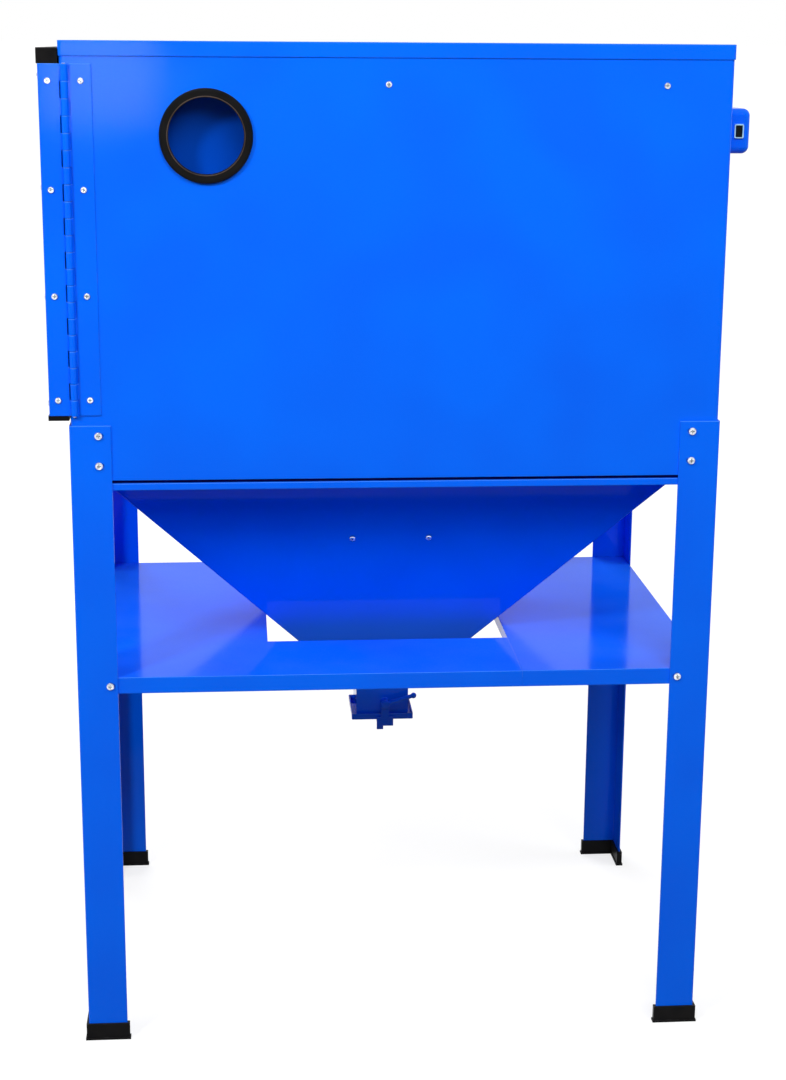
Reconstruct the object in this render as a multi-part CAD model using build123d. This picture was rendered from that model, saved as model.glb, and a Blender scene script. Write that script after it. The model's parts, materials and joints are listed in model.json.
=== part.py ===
from build123d import *
import os
from math import atan2, cos, degrees, hypot, radians, sin

# Floor-standing abrasive blasting cabinet, millimetres, +Z up.
# Origin: on the floor, midway between the four legs.  +Y is the rear, -Y is the operator's side.
# The loading door is on the +X side, the switch box and the air inlet are on the -X side.

# ---------------------------------------------------------------- driving dimensions
body_width = 967.0            # over the side faces of the sheet-metal box
body_depth = 686.0            # front face to rear face of the box
overall_height = 1540.0       # floor to the top of the cover
sheet = 2.0                   # box, hopper and frame sheet
cover_sheet = 1.5
bend_radius = 5.0             # outside radius of the box's upright corners
corner_flange = 14.5          # how far the front and rear sheets wrap round the corners
panel_bottom = 907.0          # lower edge of the box
slope_bottom = 1215.0         # where the upright front turns into the sloped window
slope_run = 250.0             # how far back the window slope reaches at the top
cover_lip = 21.5              # turned-down edge of the top cover
cover_edge = 1.2              # radius of the cover's upper bends

floor_ledge_x = 26.0          # inward ledge that carries the grate, along the sides
floor_ledge_y = 40.0          # the same, along the front and the rear
gasket_thickness = 5.0
gasket_setback = 6.0
gasket_width = 22.0
seam_gap = 0.3                # between sheets that meet without a weld
ring_clearance = 0.3          # rubber rings and couplings in their holes
through = 20.0                # length of a cutter that passes right through a sheet

rim_lip = 10.0                # turned-down edge of the hopper rim
mouth_inset_x = 28.5          # hopper mouth, in from the box's side faces
mouth_inset_y = 78.0          # hopper mouth, in from the front and rear faces
throat_width = 88.0           # square outlet
throat_top = 477.0
throat_wall = 2.0
tray_bottom = 424.0           # underside of the closed outlet tray

leg_flange = 61.0
leg_sheet = 2.5
leg_top = 990.0
leg_bend = 3.0
foot_wall = 3.5
foot_floor = 4.0
foot_height = 27.0
foot_flare = 1.5
foot_flare_height = 3.5

shelf_top = 600.5
shelf_sheet = 1.5
shelf_lip = 25.5
shelf_hole_width = 390.0
shelf_hole_depth = 334.0
shelf_hole_lip = 20.0
shelf_lap = 20.0

frame_bolt_radius = 3.0       # M6
frame_head_radius = 6.0
frame_head_height = 4.2
frame_nut_across = 10.0
frame_nut_height = 5.0
frame_bolt_length = 14.0
leg_bolt_edge = 42.5          # leg's outer edge to the bolts that hold it to the box
leg_bolt_drop = 15.0          # leg's top to the upper bolt
leg_bolt_pitch = 45.0
shelf_bolt_edge = 49.5
shelf_bolt_drop = 12.5
slot_reach = 4.0              # how far a leg's slot runs on past its bolt
bolt_clearance = 0.4

panel_screw_radius = 2.4      # M5
panel_head_radius = 4.75
panel_head_height = 2.8
panel_screw_length = 7.0
screw_clearance = 0.3

door_thickness = 28.0
door_sheet = 1.5
door_stand_off = 2.0          # door's inner face to the box's side face
door_bottom = 1005.0
door_top_drop = 32.0          # top of the cover to the top of the door
door_trim_top = 22.0
door_trim_edge = 8.0
door_trim_proud = 2.0
door_liner = 2.0
door_trim_corner = 3.0
door_trim_behind = 20.0       # the trim's cut runs this far past the hinge's edge
door_margin = 4.0             # trim to the sloped edge of the box
door_frame_margin = 27.0      # how far the door laps its opening in the side sheet
door_frame_rear = 60.0
door_opening_corner = 20.0

hinge_leaf = 1.5
hinge_leaf_width = 31.4
hinge_barrel_radius = 5.0
hinge_pin_radius = 2.5
hinge_pin_clearance = 0.05
hinge_pivot_inset = 7.0       # pivot, in from the box's side face
hinge_lift = 0.5              # barrel to the rear sheet
hinge_notch = 2.0             # cut in a leaf beside the other leaf's knuckles
hinge_knuckles = 21
hinge_knuckle_gap = 0.4
hinge_screw_pitch = 152.0
hinge_screws = 4
rivet_pitch = 156.4
rivet_edge = 14.0
rivet_radius = 5.0
rivet_height = 2.6
rivet_shank = 6.0
rivet_clearance = 0.2
rivets = 4

latch_heights = (1050.0, 1165.0)
latch_pivot_inset = 31.5      # lever's pivot, in from the box's side face
latch_pivot_height = 9.0      # lever's pivot, out from the front sheet
latch_base_sheet = 2.0
latch_half_width = 14.0
latch_pin_radius = 2.0
latch_link = 12.0             # lever's pivot to the loop's pivot
latch_wire_radius = 1.5
latch_wire_half = 5.5
latch_loop_length = 54.8
latch_lever_length = 56.0
latch_clearance = 0.3
latch_pin_clearance = 0.08
latch_plate_behind = 36.0     # base plate, from the lever's pivot away from the door
latch_plate_ahead = 12.0
latch_ear_half = 6.0
latch_ear_proud = 5.0         # ear beyond the lever's pivot
latch_stud_start = 8.8        # inner end of the pivot studs, from the latch's middle
latch_rivet_radius = 3.0
latch_rivet_back = 28.0
latch_rivet_half = 7.0
latch_rivet_proud = 1.6
lever_half = 11.2
lever_cheek = 1.8
lever_web = 2.0
lever_out = 7.0               # lever's outer face, out from its pivot
lever_tab = 8.0               # finger tab beyond that face
lever_tab_sheet = 3.0
lever_behind = 6.0            # web's end to the loop's pivot
cheek_behind = 12.0           # cheek's end to the loop's pivot
cheek_ahead = 5.0             # cheek's end past the lever's pivot
cheek_in = 4.5                # cheek's inner edge, in from the lever's pivot
loop_pivot_in = 1.5           # loop's pivot, in from the lever's
loop_pivot_half = 11.0
catch_half = 12.0
catch_sheet = 2.0
catch_gap = 0.3
catch_reach = 28.0            # how far the catch lies over the door's face
catch_spacer = 8.0            # start of its spacer, from the pan's front edge
catch_hook_half = 3.4
catch_hook_sheet = 3.0
catch_hook_reach = 4.0        # hook beyond the loop's wire

handle_span = 120.0
handle_reach = 30.0
handle_radius = 6.0
handle_from_edge = 70.0       # door's front edge to the handle
handle_rise = 20.0            # above the middle of the door's straight front edge
handle_flange = 2.5

duct_radius = 54.0            # bore of the dust port's rubber ring
duct_ring_radius = 67.0
duct_ring_proud = 8.0
duct_ring_neck = 5.7
duct_ring_bead = 4.0          # bead behind the sheet, beyond the neck
duct_ring_inside = 6.0        # how far the ring reaches in behind the sheet
duct_x = 278.5
duct_drop = 131.5             # below the top of the cover
baffle_half = 84.0            # baffle behind the port: half its width and height
baffle_gap = 44.0             # rear sheet to the baffle
baffle_foot = 12.0            # baffle's welded feet, each side

lamp_screw_drop = 58.5
lamp_centre_x = -184.0
lamp_screw_pitch = 403.0
lamp_length = 440.0
lamp_depth = 42.0
lamp_height = 40.0
lamp_tube_radius = 13.0
lamp_sheet = 1.5
lamp_bed = 8.0                # depth of the housing's top above the tube's hollow
lamp_back = 6.0               # thickness of its back
lamp_tube_out = 23.0          # rear sheet to the tube's middle
lamp_tube_drop = 4.0
lamp_tube_gap = 0.3
lamp_cap = 14.0               # length of a tube's end cap
lamp_cap_proud = 1.5

switch_from_rear = 60.0       # rear face of the switch box, ahead of the box's rear face
switch_length = 92.0
switch_height = 66.0
switch_reach = 45.0           # out from the side sheet
switch_drop = 125.0           # top of the cover to the middle of the box
switch_corner = 11.0
switch_wall = 2.5
switch_wire_hole = 10.0       # radius
rocker_width = 9.0
rocker_height = 16.0
bezel_margin = 2.6
bezel_proud = 2.0
rocker_clearance = 0.4
rocker_tilt = 6.0
rocker_out = 27.0             # side sheet to the middle of the rocker
rocker_body = 8.0             # depth of the rocker behind its face
rocker_taper = 1.6            # how much narrower its back is, above and below
rocker_proud = 0.6
rocker_dish = 1.0             # depth of the V in its face

window_width = 560.0
window_height = 250.0
window_lap = 22.0
window_glass = 5.0
window_bed = 1.0              # rubber between the sloped sheet and the pane
window_seal_edge = 12.0
window_seal_lip = 3.0
window_corner = 12.0
pane_corner = 10.0
window_seal_corner = 20.0

glove_port_radius = 76.0
glove_port_wall = 4.0
glove_port_x = 190.0
glove_port_height = 1072.0
glove_ring_radius = 96.0
glove_ring_proud = 10.0
glove_collar = 34.0
glove_wall = 3.0
glove_length = 290.0
glove_drop = 80.0
glove_wrist = 48.0
hand_length = 170.0
hand_width = 104.0
hand_thickness = 44.0
glove_clearance = 0.4
glove_cuff_start = 6.0        # front sheet's inner face to the edge of the cuff
glove_cuff_past = 8.0         # cuff beyond the collar
palm_drop = 14.0
finger_drop = 4.0

grate_thickness = 4.0
grate_clearance = 2.5
grate_bar = 5.0
grate_columns = 26
grate_rows = 5

inlet_y = -120.0
inlet_height = 1010.0
inlet_across = 24.0
inlet_reach = 32.0
inlet_bore = 5.9
inlet_bore_depth = 14.0
inlet_shank = 9.0
inlet_nut_height = 8.0
inlet_shank_length = 22.0
inlet_way = 3.5               # radius of the air's way through

bracket_drop = 120.5          # hopper mouth to the pick-up tube's bracket
bracket_pitch = 121.0
pickup_radius = 12.5
pickup_length = 330.0
pickup_stand_off = 17.0
pickup_drop = 40.0            # bracket to the tube's middle
pickup_wall = 2.0
strap_width = 26.0
strap_sheet = 2.0
strap_end = 12.0              # strap's end past its screw
saddle_width = 24.0

gun_x = 60.0
gun_y = -40.0
gun_radius = 15.0
gun_length = 120.0
gun_grip = 105.0
gun_rest = 0.3
gun_grip_back = 46.0          # grip's rear and front edges, from the barrel's middle
gun_grip_front = 14.0
gun_grip_corner = 8.0
air_barb_radius = 7.0
air_barb_length = 22.0
media_barb_radius = 9.0
media_barb_length = 26.0
nozzle_collar = 14.0
nozzle_radius = 9.5
nozzle_length = 30.0
nozzle_bore = 4.0
gun_bore = 5.0
guard_x = (6.0, 20.0)         # trigger guard, out from the barrel's axis
guard_front = 4.0
guard_half = 9.0
guard_slot = 3.6
trigger_x = 14.0              # trigger's pin, out from the barrel's axis
trigger_y = -1.0
trigger_start = 9.5
trigger_end = 62.0
trigger_half = 3.2
trigger_pin = 2.0
trigger_hub = 4.4
trigger_clearance = 0.08

# ---------------------------------------------------------------- worked-out places
half_width = body_width / 2
half_depth = body_depth / 2
cover_under = overall_height - cover_sheet
slope_top = -half_depth + slope_run
door_top = overall_height - door_top_drop
slope_rise = cover_under - slope_bottom
slope_length = hypot(slope_run, slope_rise)
slope_cos = slope_run / slope_length
slope_sin = slope_rise / slope_length
side_face = half_width - sheet            # outer face of the side sheets, under the corner flanges
rim_top = panel_bottom - gasket_thickness
mouth_x = half_width - mouth_inset_x
mouth_y = half_depth - mouth_inset_y
mouth_z = rim_top - sheet
throat = throat_width / 2
leg_out_x = half_width + leg_sheet
leg_out_y = half_depth + leg_sheet
grate_bottom = panel_bottom + sheet
grate_top = grate_bottom + grate_thickness
door_in = side_face + door_stand_off + sheet
door_out = door_in + door_thickness
pivot_x = half_width - hinge_pivot_inset
pivot_y = half_depth + hinge_lift + hinge_barrel_radius
hinge_middle = (door_bottom + door_top) / 2


# ---------------------------------------------------------------- helpers
def block(x, y, z):
    """A box between two limits along each axis."""
    size = [abs(b - a) for a, b in (x, y, z)]
    return Pos((x[0] + x[1]) / 2, (y[0] + y[1]) / 2, (z[0] + z[1]) / 2) * Box(*size)


def upright_block(x, y, z, radius):
    """A box whose upright edges are rounded."""
    body = block(x, y, z)
    return fillet(body.edges().filter_by(Axis.Z), radius)


def rod(axis, radius, start, length):
    """A cylinder that begins at start and runs along an axis: "X", "Y" or "Z"."""
    turn = {"X": (0, 90, 0), "Y": (-90, 0, 0), "Z": (0, 0, 0)}[axis]
    shape = Cylinder(radius, length, align=(Align.CENTER, Align.CENTER, Align.MIN))
    return Pos(*start) * Rot(*turn) * shape


def plate_in_side_view(points, x):
    """Extrude an outline given as (y, z) points between two x limits."""
    outline = make_face(Polyline(*[(x[0], y, z) for y, z in points], close=True))
    return extrude(outline, amount=x[1] - x[0], dir=(1, 0, 0))


def slope_y(z, inset):
    """Y of the line that lies a given distance inside the window slope, at height z."""
    rise = z - slope_bottom
    return -half_depth + rise * slope_cos / slope_sin + inset / slope_sin


def slope_z(y, inset):
    """Height of that line at a given Y."""
    return slope_bottom + (y + half_depth - inset / slope_sin) * slope_sin / slope_cos


def pan_screw(radius, head_radius, head_height, length):
    """A pan-head screw along +Z: the underside of its head is at z = 0."""
    head = Cylinder(head_radius, head_height, align=(Align.CENTER, Align.CENTER, Align.MIN))
    head = fillet(head.edges().sort_by(Axis.Z)[-1], head_height * 0.55)
    shank = Pos(0, 0, -length) * Cylinder(radius, length, align=(Align.CENTER, Align.CENTER, Align.MIN))
    cross = Box(head_radius * 0.95, head_radius * 0.22, head_height) + Box(
        head_radius * 0.22, head_radius * 0.95, head_height)
    return head + shank - Pos(0, 0, head_height) * cross


def facing(axis_sign, x, y, z):
    """Placement that points local +Z along +Y or -Y at a given place."""
    return Pos(x, y, z) * Rot(-90 * axis_sign, 0, 0)


def write(node, shape):
    export_step(shape, os.path.join("parts", node + ".step"))


def group(shapes):
    return Compound(children=list(shapes))


# ---------------------------------------------------------------- hinge, latch and bolt places
def leg_bolt_places():
    """(x, side, height) of every bolt that holds a leg to the box."""
    x = leg_out_x - leg_bolt_edge
    heights = [leg_top - leg_bolt_drop, leg_top - leg_bolt_drop - leg_bolt_pitch]
    return [(sx * x, sy, z) for sx in (-1, 1) for sy in (-1, 1) for z in heights]


def shelf_bolt_places():
    x = leg_out_x - shelf_bolt_edge
    return [(sx * x, sy, shelf_top - shelf_bolt_drop) for sx in (-1, 1) for sy in (-1, 1)]


def hinge_screw_heights():
    first = hinge_middle - hinge_screw_pitch * (hinge_screws - 1) / 2
    return [first + hinge_screw_pitch * i for i in range(hinge_screws)]


body_leaf_edge = pivot_x - hinge_barrel_radius - hinge_notch
door_leaf_edge = pivot_x + hinge_barrel_radius + hinge_notch
body_screw_x = body_leaf_edge - hinge_leaf_width / 2
door_screw_x = (door_leaf_edge + door_out) / 2 + 1.5
lamp_screw_z = overall_height - lamp_screw_drop
lamp_screw_places = [lamp_centre_x - lamp_screw_pitch / 2, lamp_centre_x + lamp_screw_pitch / 2]
duct_z = overall_height - duct_drop


# ---------------------------------------------------------------- sheet-metal box
def corner_sheet(sign, z):
    """A front or rear sheet whose ends wrap round the upright corners."""
    face = sign * half_depth
    back = sign * (half_depth - corner_flange)
    outer = block((-half_width, half_width), (back, face), z)
    outside = outer.edges().filter_by(Axis.Z).filter_by(lambda e: abs(e.center().Y - face) < 0.01)
    outer = fillet(outside, bend_radius)
    inner = block((-side_face, side_face), (back - sign, face - sign * sheet), z)
    inside = inner.edges().filter_by(Axis.Z).filter_by(
        lambda e: abs(e.center().Y - (face - sign * sheet)) < 0.01)
    inner = fillet(inside, bend_radius - sheet)
    return outer - inner


def drill(shape, places, radius):
    """Drill along Y at each (x, side, height)."""
    for x, side, z in places:
        deep = side * (half_depth - corner_flange)
        shape -= rod("Y", radius, (x, min(deep, side * (half_depth + corner_flange)), z), 2 * corner_flange)
    return shape


def dust_baffle():
    """Hat-section sheet behind the dust port, open above and below, that keeps grit out of the hose."""
    back = half_depth - sheet
    face = back - baffle_gap
    z = (duct_z - baffle_half, duct_z + baffle_half)
    hat = block((duct_x - baffle_half, duct_x + baffle_half), (face, back), z)
    hat -= block((duct_x - baffle_half + sheet, duct_x + baffle_half - sheet), (face + sheet, back), z)
    for side in (-1, 1):
        edge = duct_x + side * baffle_half
        hat += block((edge, edge + side * baffle_foot), (back - sheet, back), z)
    return hat


def rear_panel():
    """Rear sheet with the dust port's hole."""
    panel = corner_sheet(1, (panel_bottom, cover_under))
    port = duct_radius + duct_ring_neck + ring_clearance
    panel -= rod("Y", port, (duct_x, half_depth - through / 2, duct_z), through)
    panel = drill(panel, [p for p in leg_bolt_places() if p[1] > 0], frame_bolt_radius + bolt_clearance)
    small = [(body_screw_x, 1, z) for z in hinge_screw_heights()]
    small += [(x, 1, lamp_screw_z) for x in lamp_screw_places]
    return drill(panel, small, panel_screw_radius + screw_clearance)


def front_panel():
    """Front sheet with the two glove ports."""
    panel = corner_sheet(-1, (panel_bottom, slope_z(-half_depth, sheet) - seam_gap))
    for side in (-1, 1):
        hole = (side * glove_port_x, -half_depth - through / 2, glove_port_height)
        panel -= rod("Y", glove_port_radius + glove_port_wall + ring_clearance, hole, through)
    return drill(panel, [p for p in leg_bolt_places() if p[1] < 0], frame_bolt_radius + bolt_clearance)


def side_outline(inset_slope):
    """Side view of the box between the bends of its front and rear sheets, under the window sheet."""
    front, rear = -half_depth + bend_radius, half_depth - bend_radius
    return [(rear, panel_bottom), (rear, cover_under), (slope_y(cover_under, inset_slope), cover_under),
            (front, slope_z(front, inset_slope)), (front, panel_bottom)]


def side_sheet(sign):
    x = (sign * side_face, sign * (side_face - sheet))
    return plate_in_side_view(side_outline(sheet), x)


def left_side_panel():
    """Side sheet with holes for the air inlet and for the wires of the switch box."""
    panel = side_sheet(-1)
    outside = -half_width - through / 2
    panel -= rod("X", inlet_shank + ring_clearance, (outside, inlet_y, inlet_height), through)
    wires_y = half_depth - switch_from_rear - switch_length / 2
    return panel - rod("X", switch_wire_hole, (outside, wires_y, overall_height - switch_drop), through)


def door_points(top, bottom, front, inset):
    """Side view of the door: rear edge, flat top, sloped corner and front edge."""
    return [(half_depth, bottom), (half_depth, top), (slope_y(top, inset), top),
            (front, slope_z(front, inset)), (front, bottom)]


door_pan_inset = door_margin + door_trim_edge
door_front = -half_depth + door_trim_edge


def right_side_frame():
    """Side sheet cut out to a frame for the loading door."""
    panel = side_sheet(1)
    top = door_top - door_frame_margin
    bottom = door_bottom + door_frame_margin
    front = door_front + door_frame_margin
    inset = door_pan_inset + door_frame_margin
    rear = half_depth - door_frame_rear
    points = [(rear, bottom), (rear, top), (slope_y(top, inset), top),
              (front, slope_z(front, inset)), (front, bottom)]
    hole = plate_in_side_view(points, (side_face - through / 2, side_face + through / 2))
    hole = fillet(hole.edges().filter_by(Axis.X), door_opening_corner)
    return panel - hole


def window_plane(lift):
    """Plane on the window slope, lifted outwards; local x is +X and local y runs up the slope."""
    y = -half_depth + slope_run / 2 - lift * slope_sin
    z = slope_bottom + slope_rise / 2 + lift * slope_cos
    return Plane(origin=(0, y, z), x_dir=(1, 0, 0), z_dir=(0, -slope_sin, slope_cos))


def window_frame():
    """Sloped sheet with the window's opening."""
    points = [(-half_depth, slope_bottom), (slope_top, cover_under),
              (slope_y(cover_under, sheet), cover_under), (-half_depth, slope_z(-half_depth, sheet))]
    frame = plate_in_side_view(points, (-half_width, half_width))
    opening = window_plane(-through / 2) * RectangleRounded(window_width, window_height, window_corner)
    return frame - extrude(opening, amount=through)


def window_pane():
    wide, high = window_width + 2 * window_lap, window_height + 2 * window_lap
    return extrude(window_plane(window_bed) * RectangleRounded(wide, high, pane_corner), amount=window_glass)


def window_seal():
    """Rubber channel that grips the pane's edge and lies on the sloped sheet."""
    reach = window_lap + window_seal_edge
    outer = RectangleRounded(window_width + 2 * reach, window_height + 2 * reach, window_seal_corner)
    inner = RectangleRounded(window_width, window_height, window_corner)
    channel = extrude(window_plane(0) * (outer - inner), amount=window_bed + window_glass + window_seal_lip)
    return channel - window_pane()


def top_cover():
    """Lid sheet with its edges turned down over the box."""
    out_x, out_y = half_width + cover_sheet, half_depth + cover_sheet
    low = overall_height - cover_lip
    outline = [(slope_y(low, 0), low), (slope_top, cover_under), (slope_top, overall_height),
               (out_y, overall_height), (out_y, low)]
    cover = plate_in_side_view(outline, (-out_x, out_x))
    upright = cover.edges().filter_by(Axis.Z).filter_by(lambda e: e.center().Y > 0)
    cover = fillet(upright, bend_radius)
    upper = cover.faces().sort_by(Axis.Z)[-1].edges().filter_by(lambda e: e.center().Y > slope_top + 1)
    cover = fillet(upper, cover_edge)
    inner = block((-half_width, half_width), (slope_y(low, 0) - 50, half_depth), (low - 1, cover_under))
    corners_inside = inner.edges().filter_by(Axis.Z).filter_by(lambda e: e.center().Y > 0)
    return cover - fillet(corners_inside, bend_radius - cover_sheet)


def ring(outer_x, outer_y, inner_x, inner_y, z):
    """A rectangular ring about the middle of the cabinet."""
    outer = block((-outer_x, outer_x), (-outer_y, outer_y), z)
    return outer - block((-inner_x, inner_x), (-inner_y, inner_y), z)


def floor_frame():
    """Ledge round the foot of the box that carries the grate."""
    x, y = side_face - sheet, half_depth - sheet
    z = (panel_bottom, panel_bottom + sheet)
    outer = upright_block((-x, x), (-y, y), z, bend_radius)
    return outer - block((floor_ledge_x - x, x - floor_ledge_x), (floor_ledge_y - y, y - floor_ledge_y), z)


def hopper_gasket():
    """Foam strip between the box and the hopper's rim."""
    x, y = half_width - gasket_setback, half_depth - gasket_setback
    return ring(x, y, x - gasket_width, y - gasket_width, (rim_top, panel_bottom))


def work_grate():
    """Welded bar grate that lies on the ledge at the foot of the box."""
    wide = 2 * (side_face - sheet - grate_clearance)
    deep = 2 * (half_depth - sheet - grate_clearance)
    pitch_x = (wide - grate_bar) / grate_columns
    pitch_y = (deep - grate_bar) / grate_rows
    gap = Rectangle(pitch_x - grate_bar, pitch_y - grate_bar)
    face = Rectangle(wide, deep) - GridLocations(pitch_x, pitch_y, grate_columns, grate_rows) * gap
    return Pos(0, 0, grate_bottom) * extrude(face, amount=grate_thickness)


# ---------------------------------------------------------------- hopper and outlet
side_run = mouth_x - throat
end_run = mouth_y - throat
hopper_drop = mouth_z - throat_top
side_wall = sheet * hypot(side_run, hopper_drop) / hopper_drop    # a sloped sheet, measured level
end_wall = sheet * hypot(end_run, hopper_drop) / hopper_drop


def hopper_rim():
    """Level rim of the hopper with its turned-down lip."""
    low = rim_top - rim_lip
    outer = upright_block((-half_width, half_width), (-half_depth, half_depth), (low, rim_top), bend_radius)
    under = block((-half_width + sheet, half_width - sheet), (-half_depth + sheet, half_depth - sheet),
                  (low - 1, rim_top - sheet))
    x, y = mouth_x - side_wall, mouth_y - end_wall
    return outer - under - block((-x, x), (-y, y), (low - 1, rim_top + 1))


def hopper_slope(side):
    """One mitred hopper sheet: "front", "rear", "left" or "right"."""
    sections = []
    for x, y, z in ((throat, throat, throat_top), (mouth_x, mouth_y, mouth_z)):
        ix, iy = x - side_wall, y - end_wall
        corners = {
            "rear": [(-x, y), (x, y), (ix, iy), (-ix, iy)],
            "front": [(-x, -y), (x, -y), (ix, -iy), (-ix, -iy)],
            "right": [(x, -y), (x, y), (ix, iy), (ix, -iy)],
            "left": [(-x, -y), (-x, y), (-ix, iy), (-ix, -iy)],
        }[side]
        sections.append(make_face(Polyline(*[(px, py, z) for px, py in corners], close=True)))
    return loft(sections, ruled=True)


rear_slope_tilt = degrees(atan2(end_run, hopper_drop))


def rear_slope_plane(inside):
    """Plane on the rear hopper sheet at the bracket's height, facing out or in."""
    z = mouth_z - bracket_drop
    y = mouth_y - bracket_drop * end_run / hopper_drop
    a = radians(rear_slope_tilt)
    if inside:
        origin = (0, y - sheet * cos(a), z + sheet * sin(a))
        return Plane(origin=origin, x_dir=(1, 0, 0), z_dir=(0, -cos(a), sin(a)))
    return Plane(origin=(0, y, z), x_dir=(1, 0, 0), z_dir=(0, cos(a), -sin(a)))


def rear_slope():
    """Rear hopper sheet with the holes for the pick-up tube's bracket."""
    slope = hopper_slope("rear")
    for side in (-1, 1):
        place = rear_slope_plane(False).offset(-through / 2) * Pos(side * bracket_pitch / 2, 0)
        slope -= extrude(place * Circle(panel_screw_radius + screw_clearance), amount=through)
    return slope


outlet_pin_y = -throat - 13.0
outlet_pin_z = tray_bottom + 17.0
outlet_pin_radius = 2.5
outlet_lug_radius = 5.0
outlet_lug_inner = 20.0       # tray lugs stand between these and the throat's lugs
outlet_lug_wall = 4.0
outlet_lug_gap = 0.5          # tray's lug to the throat's lug
outlet_pin_head = 1.5         # how far the pin's heads stand out all round
outlet_pin_end = 3.0          # throat's lug to the end of the pin
tray_margin = 6.0
tray_sheet = 2.0
tray_lip = 10.0
throat_seat = 0.3
tray_half = throat + tray_margin + tray_sheet

latch_hub_x = -4.0
latch_hub_z = 452.0
latch_hub_radius = 8.0
latch_stud_radius = 4.0
latch_plate = 3.0
latch_thickness = 6.0         # hub, along its axis
latch_stud_gap = 0.1
latch_end_gap = 0.5           # hub to the collar and the cap, along the stud
latch_cap = 2.5
latch_hub_y = tray_half + 2.0
latch_arm_x = -48.0
latch_arm_z = 15.0
latch_arm_radius = 3.5
tongue_half = 7.0
hook_half = 14.0
hook_sheet = 4.0
hook_gap = 0.3                # hook's foot to the underside of the tray
hook_edge = 6.0               # hook's plate above and below the foot
hook_tip = 12.0               # finger tip below the foot
hook_tip_x = 3.0
foot_reach_gap = 1.0          # hook's foot to the throat's rear face
knob_proud = 1.5


def outlet_pin_hole():
    """Cutter for the hinge pin's holes, right across the outlet."""
    radius = outlet_pin_radius + hinge_pin_clearance
    return rod("X", radius, (-tray_half, outlet_pin_y, outlet_pin_z), 2 * tray_half)


def outlet_throat():
    """Square outlet tube with the tray's hinge lugs in front and the latch's stud behind."""
    z = (tray_bottom + tray_sheet + throat_seat, throat_top)
    inner = throat - throat_wall
    tube = ring(throat, throat, inner, inner, z)
    lug_z = (outlet_pin_z - outlet_lug_radius, outlet_pin_z + outlet_lug_radius)
    for side in (-1, 1):
        near = outlet_lug_inner + outlet_lug_wall + outlet_lug_gap
        x = (side * near, side * (near + outlet_lug_wall))
        lug = block(x, (outlet_pin_y, -throat), lug_z)
        lug += rod("X", outlet_lug_radius, (min(x), outlet_pin_y, outlet_pin_z), outlet_lug_wall)
        tube += lug - outlet_pin_hole()
    cap_y = latch_hub_y + latch_thickness + latch_end_gap
    stud = rod("Y", latch_stud_radius, (latch_hub_x, throat, latch_hub_z), cap_y + latch_cap / 2 - throat)
    collar_length = latch_hub_y - latch_end_gap - throat
    collar = rod("Y", latch_hub_radius, (latch_hub_x, throat, latch_hub_z), collar_length)
    cap = rod("Y", latch_hub_radius - 1, (latch_hub_x, cap_y, latch_hub_z), latch_cap)
    return tube + stud + collar + fillet(cap.edges().sort_by(Axis.Y)[-1], latch_cap * 0.6)


def outlet_door():
    """Shallow tray that closes the outlet from below."""
    top = tray_bottom + tray_lip
    tray = upright_block((-tray_half, tray_half), (-tray_half, tray_half), (tray_bottom, top), 3)
    hollow = tray_half - tray_sheet
    tray -= block((-hollow, hollow), (-hollow, hollow), (tray_bottom + tray_sheet, top + 1))
    for side in (-1, 1):
        x = (side * outlet_lug_inner, side * (outlet_lug_inner + outlet_lug_wall))
        lug = block(x, (outlet_pin_y - outlet_lug_radius, -tray_half + 0.5), (tray_bottom, outlet_pin_z))
        lug += rod("X", outlet_lug_radius, (min(x), outlet_pin_y, outlet_pin_z), outlet_lug_wall)
        lug -= block((min(x) - 1, max(x) + 1), (-tray_half, 0), (top, outlet_pin_z + 2 * outlet_lug_radius))
        tray += lug - outlet_pin_hole()
    return tray


def outlet_hinge_pin():
    """Headed pin through the lugs of the throat and the tray."""
    half = outlet_lug_inner + 2 * outlet_lug_wall + outlet_pin_end
    pin = rod("X", outlet_pin_radius, (-half, outlet_pin_y, outlet_pin_z), 2 * half)
    head = 2.0
    for end in (-half - head + 0.5, half - 0.5):
        pin += rod("X", outlet_pin_radius + outlet_pin_head, (end, outlet_pin_y, outlet_pin_z), head)
    return pin


def outlet_latch():
    """Quarter-turn lever whose hook holds the tray up."""
    y = (latch_hub_y, latch_hub_y + latch_thickness)
    hub = rod("Y", latch_hub_radius, (latch_hub_x, y[0], latch_hub_z), latch_thickness)
    plate = (y[0], y[0] + latch_plate)
    foot_top = tray_bottom - hook_gap
    foot_low = foot_top - hook_sheet
    hook_x = (latch_hub_x - hook_half, latch_hub_x + hook_half)
    tongue_x = (latch_hub_x - tongue_half, latch_hub_x + tongue_half)
    body = hub + block(tongue_x, plate, (foot_low, latch_hub_z))
    body += block(hook_x, plate, (foot_low - hook_edge, foot_top + hook_edge))
    body += block(hook_x, (throat + foot_reach_gap, plate[1]), (foot_low, foot_top))
    body += block((latch_hub_x + hook_tip_x, hook_x[1]), plate, (foot_low - hook_tip, foot_top))
    arm_y = (y[0] + y[1]) / 2
    arm = Cylinder(latch_arm_radius, hypot(latch_arm_x, latch_arm_z),
                   align=(Align.CENTER, Align.CENTER, Align.MIN))
    tilt = degrees(atan2(latch_arm_z, latch_arm_x))
    body += Pos(latch_hub_x, arm_y, latch_hub_z) * Rot(0, 90 - tilt, 0) * arm
    end = (latch_hub_x + latch_arm_x, arm_y, latch_hub_z + latch_arm_z)
    body += Pos(*end) * Sphere(latch_arm_radius + knob_proud)
    bore = latch_stud_radius + latch_stud_gap
    return body - rod("Y", bore, (latch_hub_x, y[0] - 1, latch_hub_z), latch_thickness + 2)


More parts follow.
